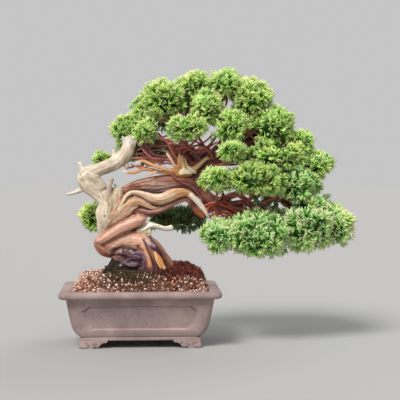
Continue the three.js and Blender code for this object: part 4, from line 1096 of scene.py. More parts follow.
crownJin = {
    "voxel": 0.75, "coarse": 0.7,
    "strands": [
        ("#cc8a50", 1, [
            (36, -10, 250.5, 3.6), (46, -10, 251.5, 5.4), (56, -9, 249, 7), (66, -9, 250, 7.4),
            (76, -9, 250, 5)]),
        ("#dda070", 1, [
            (56, -10, 250, 4.4), (37.5, -12, 250.8, 3.4), (28.6, -12, 251, 2.8), (17.4, -12, 254, 2.7),
            (4.1, -12, 255, 2.5), (-7.2, -12, 250.8, 2.5), (-17.2, -12, 250.2, 2.2),
            (-25.6, -12, 252.6, 1.6)]),
        ("#dca276", 1, [
            (56, -12, 253, 4), (42, -16, 253.6, 2.8), (33, -17, 256.8, 2.5), (21.9, -18, 260, 2.5),
            (12.9, -18, 264.2, 2.4), (2.9, -18, 267.4, 2.3), (-5.6, -18, 263.6, 1.5)]),
        ("#ecbc8e", 1, [
            (58, -10, 254, 4), (50, -16, 261, 2.6), (44.3, -19, 270.6, 2.2), (38.4, -20, 278.6, 1.3)]),
        ("#e2a870", 1, [
            (62, -10, 251, 5), (58.7, -13, 258, 3.4, 2.4), (56.5, -16, 269, 2.6, 1.8),
            (57.4, -17, 279, 1.2)]),
        ("#ecc894", 1, [
            (66, -11, 250, 6, 4), (64, -14, 260, 6, 2.4), (63, -15, 268, 4, 2), (60, -16, 275, 1.6, 1.4)]),
        ("#ffe8c4", 1, [
            (60, -13, 251, 5, 4), (70, -15, 254, 7, 3.4), (78, -15, 252.5, 4.5, 3), (82, -14, 250, 2, 2)]),
        ("#ffc98c", 1, [
            (72, -12, 252, 5), (78, -14, 255, 4.4), (86.8, -15, 262, 3.2), (94.6, -16, 269.4, 2.5),
            (99.6, -16, 274, 1.2)]),
        ("#ffd29c", 1, [(92, -15, 266, 2.4), (97, -16, 270, 1.6), (103, -16, 271, 0.9)]),
        ("#e6b488", 1, [(24, -14, 252, 2), (15, -17, 248, 1.4), (9, -17, 246.5, 0.8)]),
    ],
    "zones": [
        ((-24, -12, 252), (6, 8, 6), "#f0e6d6", 0.9),
        ((-4, -16, 265), (6, 8, 5), "#efe0ca", 0.8),
        ((39, -20, 278), (5, 8, 6), "#f0e2cc", 0.8),
        ((73, -18, 252), (8, 9, 4.5), "#fff0d6", 0.95),
        ((99, -16, 272), (6, 8, 6), "#ffdcb0", 0.7),
        ((52, -14, 256), (8, 8, 4), "#b86a2a", 0.6),
        ((60, -16, 262), (2.4, 8, 8), "#a8682e", 0.6),
    ],
    "lines": [
        # torn shards in the middle, then the lit and the shaded edge of the right arm
        ([(183, 157), (185, 163), (187, 170)], 0.5, -0.9, "#7c441c", 0.8),
        ([(179.5, 156), (181, 162), (183.5, 169)], 0.45, 0.3, "#ffdca8", 0.7),
        ([(186.5, 168), (190.5, 171.5), (194, 174)], 0.5, -0.7, "#a06c3c", 0.75),
        ([(190, 166.5), (194, 169), (197, 171.5)], 0.45, -0.6, "#b88450", 0.7),
        ([(196.5, 168.5), (202, 163.5), (208, 157.5)], 0.6, 0.3, "#fff2d8", 0.8),
        ([(198, 171.5), (203, 167), (209, 161)], 0.6, -0.3, "#b87038", 0.7),
    ],
}
stubJin = {
    "voxel": 0.7, "coarse": 0.7,
    "strands": [
        ("#efe8d4", 1, [
            (-2, -9, 160, 8, 6), (7, -9, 168.5, 7, 5), (14, -9, 173, 5, 4), (24, -9, 171.5, 3.6),
            (36, -9, 168, 3.4), (43, -9, 168.6, 4), (47, -9, 169.6, 4.4)]),
        ("#e6ddc0", 1, [(6, -9, 168, 7, 5), (11, -10, 163, 6, 4.4), (12.5, -10, 157, 3.4, 3)]),
        ("#ddd0b0", 1, [(-8, -10, 160, 4), (0, -12, 164, 6, 5), (8, -12, 165, 6, 4)]),
        ("#f2ecdc", 1, [(-4, -14, 163, 3), (6, -14, 168, 3), (14, -12, 172, 2.6), (26, -11, 173, 2)]),
    ],
    "zones": [((2, -14, 162), (8, 8, 4), "#c9b184", 0.6), ((30, -12, 169), (14, 8, 2), "#b9a888", 0.5)],
}
splinter = {
    "voxel": 0.6, "coarse": 0.5,
    "strands": [
        ("#e6a466", 1, [
            (17, -14, 139, 3), (23.5, -19, 127, 4, 3), (30, -20, 116, 4.4, 3), (37, -21, 103.5, 4.4, 3)]),
        ("#d08a4c", 1, [(22, -16, 134, 2), (29, -18, 124, 3, 2), (35, -19, 113, 2, 2)])],
    "zones": [((22, -22, 128), (3, 6, 6), "#f6d0a0", 0.6), ((34, -22, 108), (4, 6, 6), "#ffdca8", 0.7)],
    "lines": [
        ([(153.5, 253), (158, 261), (163, 270)], 0.4, -0.7, "#9a5c30", 0.7),
        ([(155.6, 254), (160, 261.5), (165.4, 270)], 0.35, -0.5, "#b4743e", 0.6),
        ([(152.6, 255), (156.4, 262), (161, 270)], 0.4, 0.3, "#ffe6bc", 0.7)],
}


def woodMaterial(name, rough, specular, depth, contrast, coat=0.0):
    material, shader = startMaterial(name, rough, specular)
    tint = pointColour(material)
    grain = addNode(material, "Attribute", attribute_name="grain").outputs["Vector"]
    # fine lines and wider splits, drawn out along the grain
    fine = addNode(material, "Mapping", {"Vector": grain}, Scale=(0.9, 0.9, 0.035)).outputs[0]
    lines = noiseOver(material, fine, 1.0, 5.0, 0.62)
    wide = addNode(material, "Mapping", {"Vector": grain}, Scale=(0.42, 0.42, 0.018)).outputs[0]
    splits = noiseOver(material, wide, 1.0, 2.0)
    blotches = noiseOver(material, objectPlace(material), 90.0, 4.0, 0.6)
    lineShade = ramp(material, lines, [(0.3, 1 - contrast), (0.5, 1.0), (0.7, 1 + contrast * 0.7)])
    splitShade = ramp(material, splits, [(0.46, 1.05), (0.495, 0.5), (0.53, 1.05)])
    blotchShade = ramp(material, blotches, [(0.3, 0.84), (0.7, 1.2)])
    shaded = blended(material, tint, lineShade)
    shaded = blended(material, shaded, splitShade, contrast * 1.4)
    shaded = blended(material, shaded, blotchShade)
    link(material, shaded, shader.inputs["Base Color"])
    height = addNode(material, "Math", {0: lines, 1: splits}, operation="ADD")
    bump(material, shader, height.outputs[0], depth, 0.9)
    # dark, rotten wood is dull; only the sound wood has a sheen
    gloss = ramp(material, tint, [(0.03, 0.0), (0.18, 1.0)])
    link(material, ramp(material, gloss, [(0.0, 0.95), (1.0, rough)]), shader.inputs["Roughness"])
    if coat:
        share = addNode(material, "Math", {0: gloss}, operation="MULTIPLY")
        share.inputs[1].default_value = coat
        link(material, share.outputs[0], shader.inputs["Coat Weight"])
        shader.inputs["Coat Roughness"].default_value = 0.35
    return material


bark = woodMaterial("polishedBark", rough=0.42, specular=0.2, depth=1.2, contrast=0.42, coat=0.35)
bleached = woodMaterial("bleachedWood", rough=0.75, specular=0.3, depth=1.0, contrast=0.30)
honey = woodMaterial("tornHoneyWood", rough=0.65, specular=0.35, depth=0.9, contrast=0.34)

settle(makeLiveWood(), ["live_wood"], bark)
print("live wood is grown")
for name, node, settings, slot, material in (
        ("oldJin", "deadwood", deadwood, "bleached_wood", bleached),
        ("crownJin", "crown_jin", crownJin, "honey_wood", honey),
        ("stubJin", "stub_jin", stubJin, "bleached_wood", bleached),
        ("heartwoodSplinter", "heartwood_splinter", splinter, "heartwood", honey)):
    piece = carvedWood(name, settings["strands"], {**deadCarving, **settings})
    settle(piece, [node], material)
print("deadwood is carved")


# Foliage: one cord-like shoot is modelled, gathered into a few tufts, and the tufts are set over each pad

def scatter(dice, spread):
    return np.array([dice.gauss(0, spread) for _ in range(3)])


def modelShoot(rings):
    # a three-sided cord with pointed foot and blunt tip; rings are (share of the length, share of the radius)
    clearSelection()
    tall, radius = foliage["shootLength"] / 1000, foliage["shootRadius"] / 1000
    low, first = rings[0]
    bpy.ops.mesh.primitive_circle_add(
        vertices=3, radius=radius * first, fill_type="NGON", location=(0, 0, tall * low))
    shoot = bpy.context.object
    editWhole(shoot)
    for share, size in rings[1:]:
        extrude((0, 0, tall * (share - low)))
        bpy.ops.transform.resize(value=(size / first, size / first, 1))
        low, first = share, size
    extrude((0, 0, tall * (1 - low)))
    bpy.ops.mesh.merge(type="CENTER")
    bpy.ops.object.mode_set(mode="OBJECT")
    for face in shoot.data.polygons:
        face.select = face.normal.z < -0.9
    bpy.ops.object.mode_set(mode="EDIT")
    bpy.ops.mesh.select_mode(type="FACE")
    extrude((0, 0, -tall * rings[0][0]))
    bpy.ops.mesh.merge(type="CENTER")
    bpy.ops.mesh.select_all(action="SELECT")
    bpy.ops.mesh.quads_convert_to_tris()
    return closeEdit(shoot)


def modelTuft(stem, fork, number):
    # sprigs that fan out from one foot, each a stem with two shorter shoots forking from it
    dice = random.Random(40 + number)
    tall = foliage["shootLength"] / 1000
    pieces = []

    def place(model, matrix, stretch):
        pieces.append(addObject("shoot", model.data.copy()))
        pieces[-1].data.transform(matrix @ Matrix.Diagonal((1, 1, stretch, 1)))

    for index in range(foliage["sprigs"]):
        around = Matrix.Rotation(index * goldenTurn + dice.uniform(-0.4, 0.4), 4, "Z")
        outwards = Matrix.Rotation(0.05 + 0.5 * index / foliage["sprigs"], 4, "Y")
        lean = around @ outwards @ Matrix.Rotation(dice.random() * 6, 4, "Z")
        stretch = dice.uniform(0.8, 1.1)
        place(stem, lean, stretch)
        for side in (-1, 1):
            start = Matrix.Translation((0, 0, tall * stretch * dice.uniform(0.26, 0.48)))
            aside = Matrix.Rotation(side * dice.uniform(0.3, 0.5), 4, "X")
            tilt = aside @ Matrix.Rotation(dice.uniform(-0.15, 0.15), 4, "Y")
            place(fork, lean @ start @ tilt, dice.uniform(0.46, 0.66))
    places, corners = takeShape(joinPieces(pieces, f"tuft{number}"))
    return places * 1000, corners


def evenDirections(count, dice):
    # directions spread evenly over a ball, each a little astray
    index = np.arange(count) + 0.5
    height = 1 - 2 * index / count
    turn = index * 2.39996 + dice.random() * 6
    ring = np.sqrt(1 - height ** 2)
    ways = np.stack([ring * np.cos(turn), ring * np.sin(turn), height], 1)
    return unit(ways + np.array([scatter(dice, 0.09) for _ in range(count)]))


def turnsTowards(axes, spins):
    # a rotation for each axis that carries +Z onto it, after a spin about +Z
    helper = np.where(np.abs(axes[:, 2:]) < 0.9, np.array([[0, 0, 1.0]]), np.array([[1.0, 0, 0]]))
    first = unit(np.cross(helper, axes))
    second = np.cross(axes, first)
    cosine, sine = np.cos(spins)[:, None], np.sin(spins)[:, None]
    return np.stack([first * cosine + second * sine, second * cosine - first * sine, axes], 2)


def ovalArea(reach):
    # Thomsen's formula for the surface of an ellipsoid
    power = 1.6
    a, b, c = reach ** power
    return 4 * math.pi * ((a * b + a * c + b * c) / 3) ** (1 / power)


def innerReach(reach):
    # half-size of the core that closes a pad, coloured dark as painted shade
    return np.maximum(reach - 13, 0.4 * reach)


def buried(spot, name):
    # whether a spot lies well inside a neighbouring pad, where nothing would be seen
    for other, (centre, reach) in foliage["pads"].items():
        gap = (spot - np.array(centre)) / np.array(reach)
        if other != name and np.linalg.norm(gap) < foliage["buriedShare"]:
            return True
    return False


def inWindow(spot):
    seen = inView(spot[None])[0]
    return any(np.linalg.norm((seen - np.array(middle)) / np.array(half)) < 1
               for middle, half in foliage["windows"])


def layHead(middle, lift, radius, dice, stretch):
    # tufts that fan out from one foot like a small fountain; a row is foot, axis, size, hue and light
    rows = []
    share = radius / foliage["headRadius"]
    count = max(4, int(round(foliage["tuftsPerHead"] * share ** 2 + dice.uniform(-0.6, 0.6))))
    spin, hue, light = dice.random() * 6.28, dice.gauss(0, 1), dice.uniform(0.86, 1.12)
    turned = turnsTowards(lift[None], np.zeros(1))[0]
    for index in range(count):
        height = 1 - foliage["headSpread"] * (index + 0.2) / count
        turn = spin + index * goldenTurn
        ring = math.sqrt(max(0, 1 - height ** 2))
        axis = turned @ np.array([ring * math.cos(turn), ring * math.sin(turn), height])
        axis = unit(axis + scatter(dice, 0.1))
        size = stretch * min(1.0, share ** 0.6) * dice.uniform(0.84, 1.12)
        length = foliage["shootLength"] * size
        tip = radius * dice.uniform(*foliage["tipReach"])
        foot = middle + axis * max(0.5, tip - length)
        if not inWindow(foot + axis * length * 0.8):
            rows.append((*foot, *axis, size, hue, light * dice.uniform(0.8, 1.16)))
    return rows


def coverGaps(laid, name, centre, reach, dice):
    # shorter tufts straight on the core wherever the heads leave it bare
    rows = []
    standing = laid[:, :7].copy()
    for way in evenDirections(int(ovalArea(reach) / foliage["gapArea"]), dice):
        foot = centre + way * innerReach(reach)
        outward = unit(way / reach)
        skin = foot + outward * 8
        gap = foot + outward * 5 - standing[:, :3]
        along = (gap * standing[:, 3:6]).sum(1).clip(0, standing[:, 6] * foliage["shootLength"])
        aside = np.linalg.norm(gap - standing[:, 3:6] * along[:, None], axis=1)
        covered = (aside - 0.3 * along).min() < foliage["gapWidth"]
        # a window is cut from the front alone, so the back of a pad stays closed
        opened = way[1] < 0.2 and inWindow(skin)
        if covered or opened or buried(skin, name):
            continue
        axis = unit(outward + np.array([dice.gauss(0, 0.2), dice.gauss(0, 0.2), 0.3]))
        # the gap tufts sit deep on the core and are darker, as painted shade
        row = (*(foot - outward * 2), *axis, dice.uniform(0.75, 0.95), 0.0, dice.uniform(0.6, 0.9))
        rows.append(row)
        standing = np.vstack([standing, row[:7]])
    return rows


def layTufts(name, centre, reach, dice):
    # the pad is covered with heads that turn outwards and towards the light
    rows = []
    stretch = foliage["longPads"].get(name, 1.0)
    for way in evenDirections(max(7, int(ovalArea(reach) / foliage["headArea"])), dice):
        radius = min(foliage["headRadius"] * dice.uniform(0.75, 1.15), 1.1 * reach.min())
        out = reach * (1 + 0.05 * dice.gauss(0, 1)) - 0.86 * radius
        middle = centre + way * np.maximum(out, 0.12 * reach) + scatter(dice, 1.6)
        upwards = 0.85 if way[2] > -0.35 else 0.15
        lift = unit(unit(way / reach) + np.array([0, 0, upwards]) + scatter(dice, 0.16))
        if way[2] > 0:
            middle[2] -= 0.1 * radius * (1 - way[2])
        if not buried(middle + lift * radius, name):
            rows += layHead(middle, lift, radius, dice, stretch)
    for pad, spot, radius in foliage["extraHeads"]:
        if pad == name:
            out = unit(np.array(spot) - centre)
            rows += layHead(np.array(spot) - out * 4, out, radius, dice, stretch)
    return np.array(rows + coverGaps(np.array(rows), name, centre, reach, dice))


def padCore(centre, reach, paintedLight, dice):
    # the lumpy core that closes a pad; its dark green is painted shade, mottled at random
    bpy.ops.mesh.primitive_ico_sphere_add(subdivisions=3, radius=1)
    ball, corners = takeShape(bpy.context.object)
    spots = ball * reach + centre
    lumps = 0.95 + 0.3 * smoothNoise(spots, 9.0) + 0.2 * smoothNoise(spots, 4.5, 5.0)
    places = ball * innerReach(reach) * lumps[:, None] + centre
    mottle = np.array([[dice.uniform(0.35, 1.9)] for _ in places])
    return places, corners, paintedLight * colour(foliage["core"]) * mottle


def makePad(name, number, tufts):
    centre, reach = [np.array(triple, float) for triple in foliage["pads"][name]]
    dice = random.Random(200 + number)
    rows = layTufts(name, centre, reach, dice)
    feet, axes, size, hue, light = rows[:, :3], rows[:, 3:6], rows[:, 6], rows[:, 7], rows[:, 8]
    kinds = np.array([dice.randrange(len(tufts)) for _ in rows])
    turns = turnsTowards(axes, np.array([dice.random() * 6.28 for _ in rows]))
    # painted light and shade for the whole pad
    paintedLight = foliage["paintedPadLight"].get(name, foliage["usualLight"])
    palette = foliage["cool" if name in foliage["coolPads"] else "warm"]
    deep, mid, tip = [paintedLight * colour(code) for code in palette]
    shapes = []
    for kind, (shape, corners) in enumerate(tufts):
        chosen = kinds == kind
        placed = np.einsum("nij,vj->nvi", turns[chosen], shape) * size[chosen][:, None, None]
        placed += feet[chosen][:, None]
        # from deep to middle in the lower half of a tuft, partly the shoots' own darker colour and partly
        # painted shade, and on to the tip colour near its end
        level = np.linalg.norm(shape, axis=1) / foliage["shootLength"]
        low = (level / 0.5).clip(0, 1)[None, :, None]
        high = ((level - 0.5) / 0.42).clip(0, 1)[None, :, None]
        tone = (deep * (1 - low) + mid * low) * (1 - high) + tip * high
        warmth = 1 + hue[chosen][:, None, None] * np.array([0.05, 0.01, -0.04])
        tone = tone * light[chosen][:, None, None] * warmth
        offsets = np.arange(chosen.sum())[:, None, None] * len(shape)
        shapes.append((placed.reshape(-1, 3), (corners[None] + offsets).reshape(-1, 3), tone.reshape(-1, 3)))
    shapes.append(padCore(centre, reach, paintedLight, dice))
    pad = tinted("pad_" + name, shapes)
    smoothShade(pad)
    return pad


def leafMaterial():
    material, shader = startMaterial("scaleLeaves", rough=0.5, specular=0.4)
    place = objectPlace(material)
    scales = cellsOver(material, place, 900.0)
    scaleShade = ramp(material, scales, [(0.0, 1.12), (0.6, 0.82)])
    mottleShade = ramp(material, noiseOver(material, place, 60.0, 3.0), [(0.3, 0.86), (0.7, 1.12)])
    shaded = blended(material, blended(material, pointColour(material), scaleShade), mottleShade)
    link(material, shaded, shader.inputs["Base Color"])
    bump(material, shader, scales, 0.4, 0.6)
    return material


leaves = leafMaterial()
stem = modelShoot([(0.3, 0.85), (0.78, 0.95)])
fork = modelShoot([(0.6, 0.95)])
tufts = [modelTuft(stem, fork, number) for number in range(foliage["tuftKinds"])]
for model in (stem, fork):
    bpy.data.objects.remove(model)
for number, name in enumerate(foliage["pads"]):
    settle(makePad(name, number, tufts), ["foliage_" + name], leaves)
print("foliage is set")


# Soil: a bed with stones, fibres and moss

soil = {
    "edge": 80.6, "stones": 5700, "fibres": 2500, "footMoss": 420,
    "palette": ["#dcb49e", "#ecd2be", "#c08e7a", "#a87060", "#84584a", "#cfa490", "#f2e2d4", "#9c6a5c",
                "#bc8a76", "#e0bea8", "#d8b09a", "#74503f"],
    "bed": "#744c3c",
    # ground other than bare grit: where it lies, its bed, and the share, size and colours of its stones
    "patches": {
        "mound": {"middle": (62, -6), "reach": (33, 50), "bed": "#2a130e", "share": 0.985, "size": 0.6,
                  "palette": ["#481c16", "#2e130f", "#5a261e", "#200d0a", "#3c1914", "#5e2f26"]},
        "foot": {"middle": (-18, -33), "reach": (38, 27), "bed": "#36291e", "share": 0.92, "size": 0.7,
                 "palette": ["#34361f", "#443c2c", "#4c3228", "#2c211b", "#5a3c32", "#6e4a3e", "#3c2c26",
                             "#80604e"]},
        "roots": {"middle": (28, -34), "reach": (20, 27), "share": 0.82, "size": 0.75,
                  "palette": ["#5c3428", "#74483a", "#44281e", "#8a5c4c", "#341e18", "#a07464"]},
    },
    "mossTones": ["#2c341a", "#3a4420", "#3a3226", "#4a3228", "#5c4034", "#4c4a24"],
    "fibreTones": ["#74322a", "#5a241c", "#8c4838", "#3a1914"],
    # the part of the trunk's foot that moss has climbed: from left to right and from low to high
    "mossSpan": (-62, 12), "mossRise": (84, 116),
    # where the bed sinks or swells: x, y, reach along x and y, height
    "swells": [(-78, -6, 20, 60, -5), (-58, -2, 14, 50, -3), (66, -4, 20, 50, -6), (80, -4, 8, 50, -1.5),
               (92, -2, 11, 32, 8)],
    # the height table covers this much on either side of the pot's centre, in cells of a millimetre
    "tableHalf": (120, 80),
}


def heightTable(piece):
    # the highest point of the bed in every cell
    wide, deep = soil["tableHalf"]
    points = pointsOf(piece)
    table = np.full((2 * wide, 2 * deep), -1.0)
    column = (points[:, 0] + wide).astype(int).clip(0, 2 * wide - 1)
    row = (points[:, 1] + deep).astype(int).clip(0, 2 * deep - 1)
    np.maximum.at(table, (column, row), points[:, 2])
    for _ in range(4):
        bare = table < 0
        grown = np.maximum.reduce([np.roll(table, shift, axis) for axis in (0, 1) for shift in (1, -1)])
        table[bare] = grown[bare]
    return table


def patchShare(patch, x, y):
    # how much of the ground at a spot belongs to a patch
    (middleX, middleY), (reachX, reachY) = patch["middle"], patch["reach"]
    return np.exp(-((x - middleX) / reachX) ** 4 - ((y - middleY) / reachY) ** 6)


def makeSoilBed():
    # starts from a copy of the solid's mesh
    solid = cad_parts["soil"]
    bed = addObject("soilBed", solid.data.copy())
    bed.matrix_world = solid.matrix_world
    editWhole(bed)
    weld()
    bpy.ops.object.mode_set(mode="OBJECT")
    applied(bed, "REMESH", mode="VOXEL", voxel_size=0.0021)
    # only the surface is crumbly; below the pot's edge the bed keeps the solid's shape
    points, normals = pointsOf(bed), normalsOf(bed)
    top = ((points[:, 2] - soil["edge"]) / 4).clip(0, 1)
    crumbs = smoothNoise(points, 4.0) + smoothNoise(points, 9.0, 7.0) * 1.2
    points = points + normals * (crumbs * top)[:, None]
    for x, y, wide, deep, height in soil["swells"]:
        swell = np.exp(-((points[:, 0] - x) / wide) ** 2 - ((points[:, 1] - y) / deep) ** 2)
        points[:, 2] += height * swell * top
    movePoints(bed, points)
    tones = colour(soil["bed"])
    for name in ("foot", "mound"):
        patch = soil["patches"][name]
        weight = patchShare(patch, points[:, 0], points[:, 1])[:, None]
        tones = tones * (1 - weight) + colour(patch["bed"]) * weight
    setTint(bed, tones * (0.9 + 0.5 * smoothNoise(points, 3.0))[:, None])
    smoothShade(bed)
    return bed


def grainsAt(x, y, dice):
    # the colours of the grains at this spot, and how large they are
    for patch in soil["patches"].values():
        if dice.random() < patchShare(patch, x, y) * patch["share"]:
            return patch["palette"], patch["size"]
    return soil["palette"], 1.0


def makeStones(bed):
    dice = random.Random(11)
    bpy.ops.mesh.primitive_ico_sphere_add(subdivisions=1, radius=1)
    shape, corners = takeShape(bpy.context.object)
    spots = pointsOf(bed)
    spots = spots[(normalsOf(bed)[:, 2] > 0.05) & (spots[:, 2] > soil["edge"] - 1)]
    stones = []
    for _ in range(soil["stones"]):
        spot = spots[dice.randrange(len(spots))]
        x, y, height = spot + np.array([dice.uniform(-1, 1), dice.uniform(-1, 1), 0])
        palette, large = grainsAt(x, y, dice)
        code = dice.choice(palette)
        radius = (1.05 + 1.35 * dice.random() ** 2) * large
        stretch = np.array([dice.uniform(0.55, 1.35) for _ in range(3)]) * radius
        chipped = shape * (1 + 0.28 * np.array([[dice.uniform(-1, 1)] for _ in shape]))
        turn = np.array(Matrix.Rotation(dice.random() * 6, 3, Vector(scatter(dice, 1))))
        placed = (chipped * stretch) @ turn.T + np.array([x, y, height + radius * dice.uniform(0.0, 0.6)])
        stones.append((placed, corners, colour(code) * dice.uniform(0.75, 1.15)))
    return tinted("gritStones", stones)


def climbingMoss(trunk, dice):
    # tufts of moss on the foot of the trunk
    wood, outward = pointsOf(trunk), normalsOf(trunk)
    (left, right), (low, high) = soil["mossSpan"], soil["mossRise"]
    mossy = (wood[:, 0] > left) & (wood[:, 0] < right) & (wood[:, 2] > low) & (wood[:, 2] < high)
    mossy &= (wood[:, 1] < 8) & (wood[:, 2] < high - 0.25 * (wood[:, 0] - left))
    spots = np.flatnonzero(mossy)
    tufts = []
    for _ in range(soil["footMoss"]):
        pick = spots[dice.randrange(len(spots))]
        way = unit(outward[pick] + np.array([dice.gauss(0, 0.5), dice.gauss(0, 0.5), dice.gauss(0.1, 0.5)]))
        end = wood[pick] + way * dice.uniform(1.6, 3.6)
        points, faces, _ = tube([(*(wood[pick] - way), 0.9), (*end, 0.6)], 40.0, 3)
        tufts.append((points, faces, colour(dice.choice(soil["mossTones"])) * dice.uniform(0.7, 1.3)))
    return tufts


def fibreRoute(x, y, moss, table, dice):
    # moss is a short stub that rises; a root fibre lies over the ground in a low hump
    (wide, deep), edge = soil["tableHalf"], soil["edge"] - 1
    turn, length = dice.random() * 6.28, dice.uniform(1.5, 3.5) if moss else dice.uniform(4, 11)
    way = np.array([math.cos(turn), math.sin(turn)])
    hump = dice.uniform(1.5, 6)
    route = []
    for share in (0, 1) if moss else (0, 0.5, 1):
        astray = np.array([dice.uniform(-1, 1), dice.uniform(-1, 1)])
        spot = (np.array([x, y]) + way * length * share + astray).clip([-96, -61], [96, 61])
        height = table[int(spot[0] + wide), int(spot[1] + deep)]
        lift = share * 3 if moss else hump * math.sin(share * math.pi) + 0.6
        route.append((*spot, max(height, edge) + lift + 0.4, 0.6 if moss else 0.5))
    return route


def makeFibres(table, trunk):
    # root fibres and bark shreds over the mound, moss round the foot of the trunk and a little way up it
    dice = random.Random(23)
    shapes = climbingMoss(trunk, dice)
    for number in range(soil["fibres"]):
        moss = number % 2 == 0
        if moss:
            x, y = dice.gauss(-18, 19), dice.gauss(-38, 10)
        else:
            x, y = dice.gauss(58, 19), dice.gauss(-8, 22)
        if abs(x) > 94 or abs(y) > 59:
            continue
        points, faces, _ = tube(fibreRoute(x, y, moss, table, dice), 40.0, 3)
        code = dice.choice(soil["mossTones" if moss else "fibreTones"])
        shapes.append((points, faces, colour(code) * dice.uniform(0.8, 1.2)))
    return tinted("soilFibres", shapes)


def gritMaterial():
    material, shader = startMaterial("grit", rough=0.85, specular=0.3)
    pores = noiseOver(material, objectPlace(material), 700.0, 5.0, 0.7)
    shaded = blended(material, pointColour(material), ramp(material, pores, [(0.35, 0.7), (0.65, 1.2)]))
    link(material, shaded, shader.inputs["Base Color"])
    bump(material, shader, pores, 0.5, 0.8)
    return material


grit = gritMaterial()
soilBed = makeSoilBed()
table = heightTable(soilBed)
settle(soilBed, ["soil"], grit)
settle(makeStones(soilBed), ["soil"], grit)
settle(makeFibres(table, bpy.data.objects["liveWood"]), ["soil"], grit)
print("soil is laid")


# The pot

pot = {
    "halfWidth": 114.5, "halfDepth": 79,
    "footCorner": 7.5,  # corner radius of the underside, from which the rings above grow
    # inset and height, from the underside up the outer wall, over the lip and down inside
    "outside": [
        (30.0, 11.4), (29.1, 12.0), (28.9, 14.5), (29.4, 15.0), (30.6, 15.5), (30.4, 16.1), (28.4, 16.6),
        (26.0, 18.0), (23.2, 20.6), (20.3, 24.0), (18.0, 27.6), (16.2, 32.6), (14.8, 38.8), (13.5, 45),
        (12.2, 52), (10.7, 60), (9.7, 66), (9.0, 69.4), (8.2, 71.2), (5.4, 71.8), (2.0, 72.1), (0.0, 72.9),
        (-1.1, 74.4), (-1.5, 76.6), (-1.4, 78.8), (-0.7, 80.6), (0.8, 81.6), (2.8, 82.0), (9.0, 82.0),
        (14.6, 81.8), (16.0, 81.4), (16.9, 80.6), (17.4, 79.2), (17.7, 77.0), (18.2, 72.0), (22.0, 45.0),
        (27.0, 30.0), (31.0, 24.0), (35.0, 22.0)],
    "panelHalf": (79, 43), "panelBottom": 28.4, "panelTop": 61.7, "panelSink": 1.8,
    "wallInset": 14.7, "wallSlope": (7.8, 31.3),  # of the wall at the panel's middle
    # how far the panel's upper and lower corners are cut, along and up, and the groove over its top
    "upperCut": (8.4, 7.7), "lowerCut": (10.8, 8.0), "lowerNarrower": 3, "groove": (1.0, 1.4),
    "drainX": 38, "drainRadius": 8,
    "foot": [(1.0, 14.0), (0.2, 10.6), (0.4, 8.8), (-1.0, 6.4), (-1.8, 3.4), (-1.2, 1.0), (0.8, 0), (15.0, 0),
             (18.0, 0.7), (20.0, 2.4), (22.4, 1.7), (25.2, 1.9), (27.6, 3.4), (29.2, 5.4), (31.6, 7.0),
             (34.2, 8.4), (36.6, 8.0), (38.6, 9.4), (39.6, 12.0), (40.0, 14.0)],
    "footThickness": 9,
    "waist": (28.5, 20.6),  # inset of the feet's outer faces, at the ends and in front
    # scrolls on a foot: centre, size
    "scrolls": [((9.0, 6.2), 4.0), ((19.5, 6.8), 3.0), ((29.0, 8.8), 2.2)],
    "scrollThickness": 1.05, "scrollProud": 0.3,
    # below this height the front and back fall more steeply than the ends
    "bellyTop": 27, "bellyInset": 18, "bellyShare": 0.28, "outerRows": 14,
}


def depthInset(number):
    # the inset of a ring of the section from the front and back
    inset, height = pot["outside"][number]
    if number < pot["outerRows"] and height < pot["bellyTop"]:
        return pot["bellyInset"] + pot["bellyShare"] * (inset - pot["bellyInset"])
    return inset


def makePotBody():
    clearSelection()
    x, y, z = inMetres((0, 0, pot["outside"][0][1]))
    bpy.ops.mesh.primitive_plane_add(size=2, location=(x, y, z))
    body = bpy.context.object
    body.name = body.data.name = "clayPot"
    sizes = [(pot["halfWidth"] - inset, pot["halfDepth"] - depthInset(number), height)
             for number, (inset, height) in enumerate(pot["outside"])]
    wide, deep, _ = sizes[0]
    editWhole(body)
    bpy.ops.transform.resize(value=(wide / 1000, deep / 1000, 1), center_override=(x, y, z))
    bpy.ops.mesh.bevel(offset=pot["footCorner"] / 1000, segments=8, affect="VERTICES")
    bpy.ops.mesh.select_all(action="SELECT")
    for (wide, deep, low), (nextWide, nextDeep, high) in zip(sizes, sizes[1:]):
        extrude((0, 0, (high - low) / 1000))
        bpy.ops.transform.resize(value=(nextWide / wide, nextDeep / deep, 1), center_override=(x, y, z))
    return closeEdit(body)


def extrudedOutline(name, outline, depth, plane):
    # a flat outline pushed through a depth; plane turns its own X, Y, Z into the scene's
    flat = [plane @ (Vector((u, v, 0)) / 1000) for u, v in outline]
    mesh = bpy.data.meshes.new(name)
    mesh.from_pydata(flat, [], [list(range(len(flat)))])
    piece = addObject(name, mesh)
    editWhole(piece)
    extrude(plane.to_3x3() @ Vector((0, 0, depth / 1000)))
    return closeEdit(piece)


def facePlane(turn, distance, height, lean=0.0):
    # X runs along the pot's face, Y up it and Z out of it; turn 0 is the viewing front
    basis = Matrix.Rotation(turn, 4, "Z") @ Matrix.Translation((0, -distance / 1000, height / 1000))
    basis = basis @ Matrix.Rotation(math.pi / 2 + lean, 4, "X")
    return Matrix.Translation(Vector(home)) @ basis


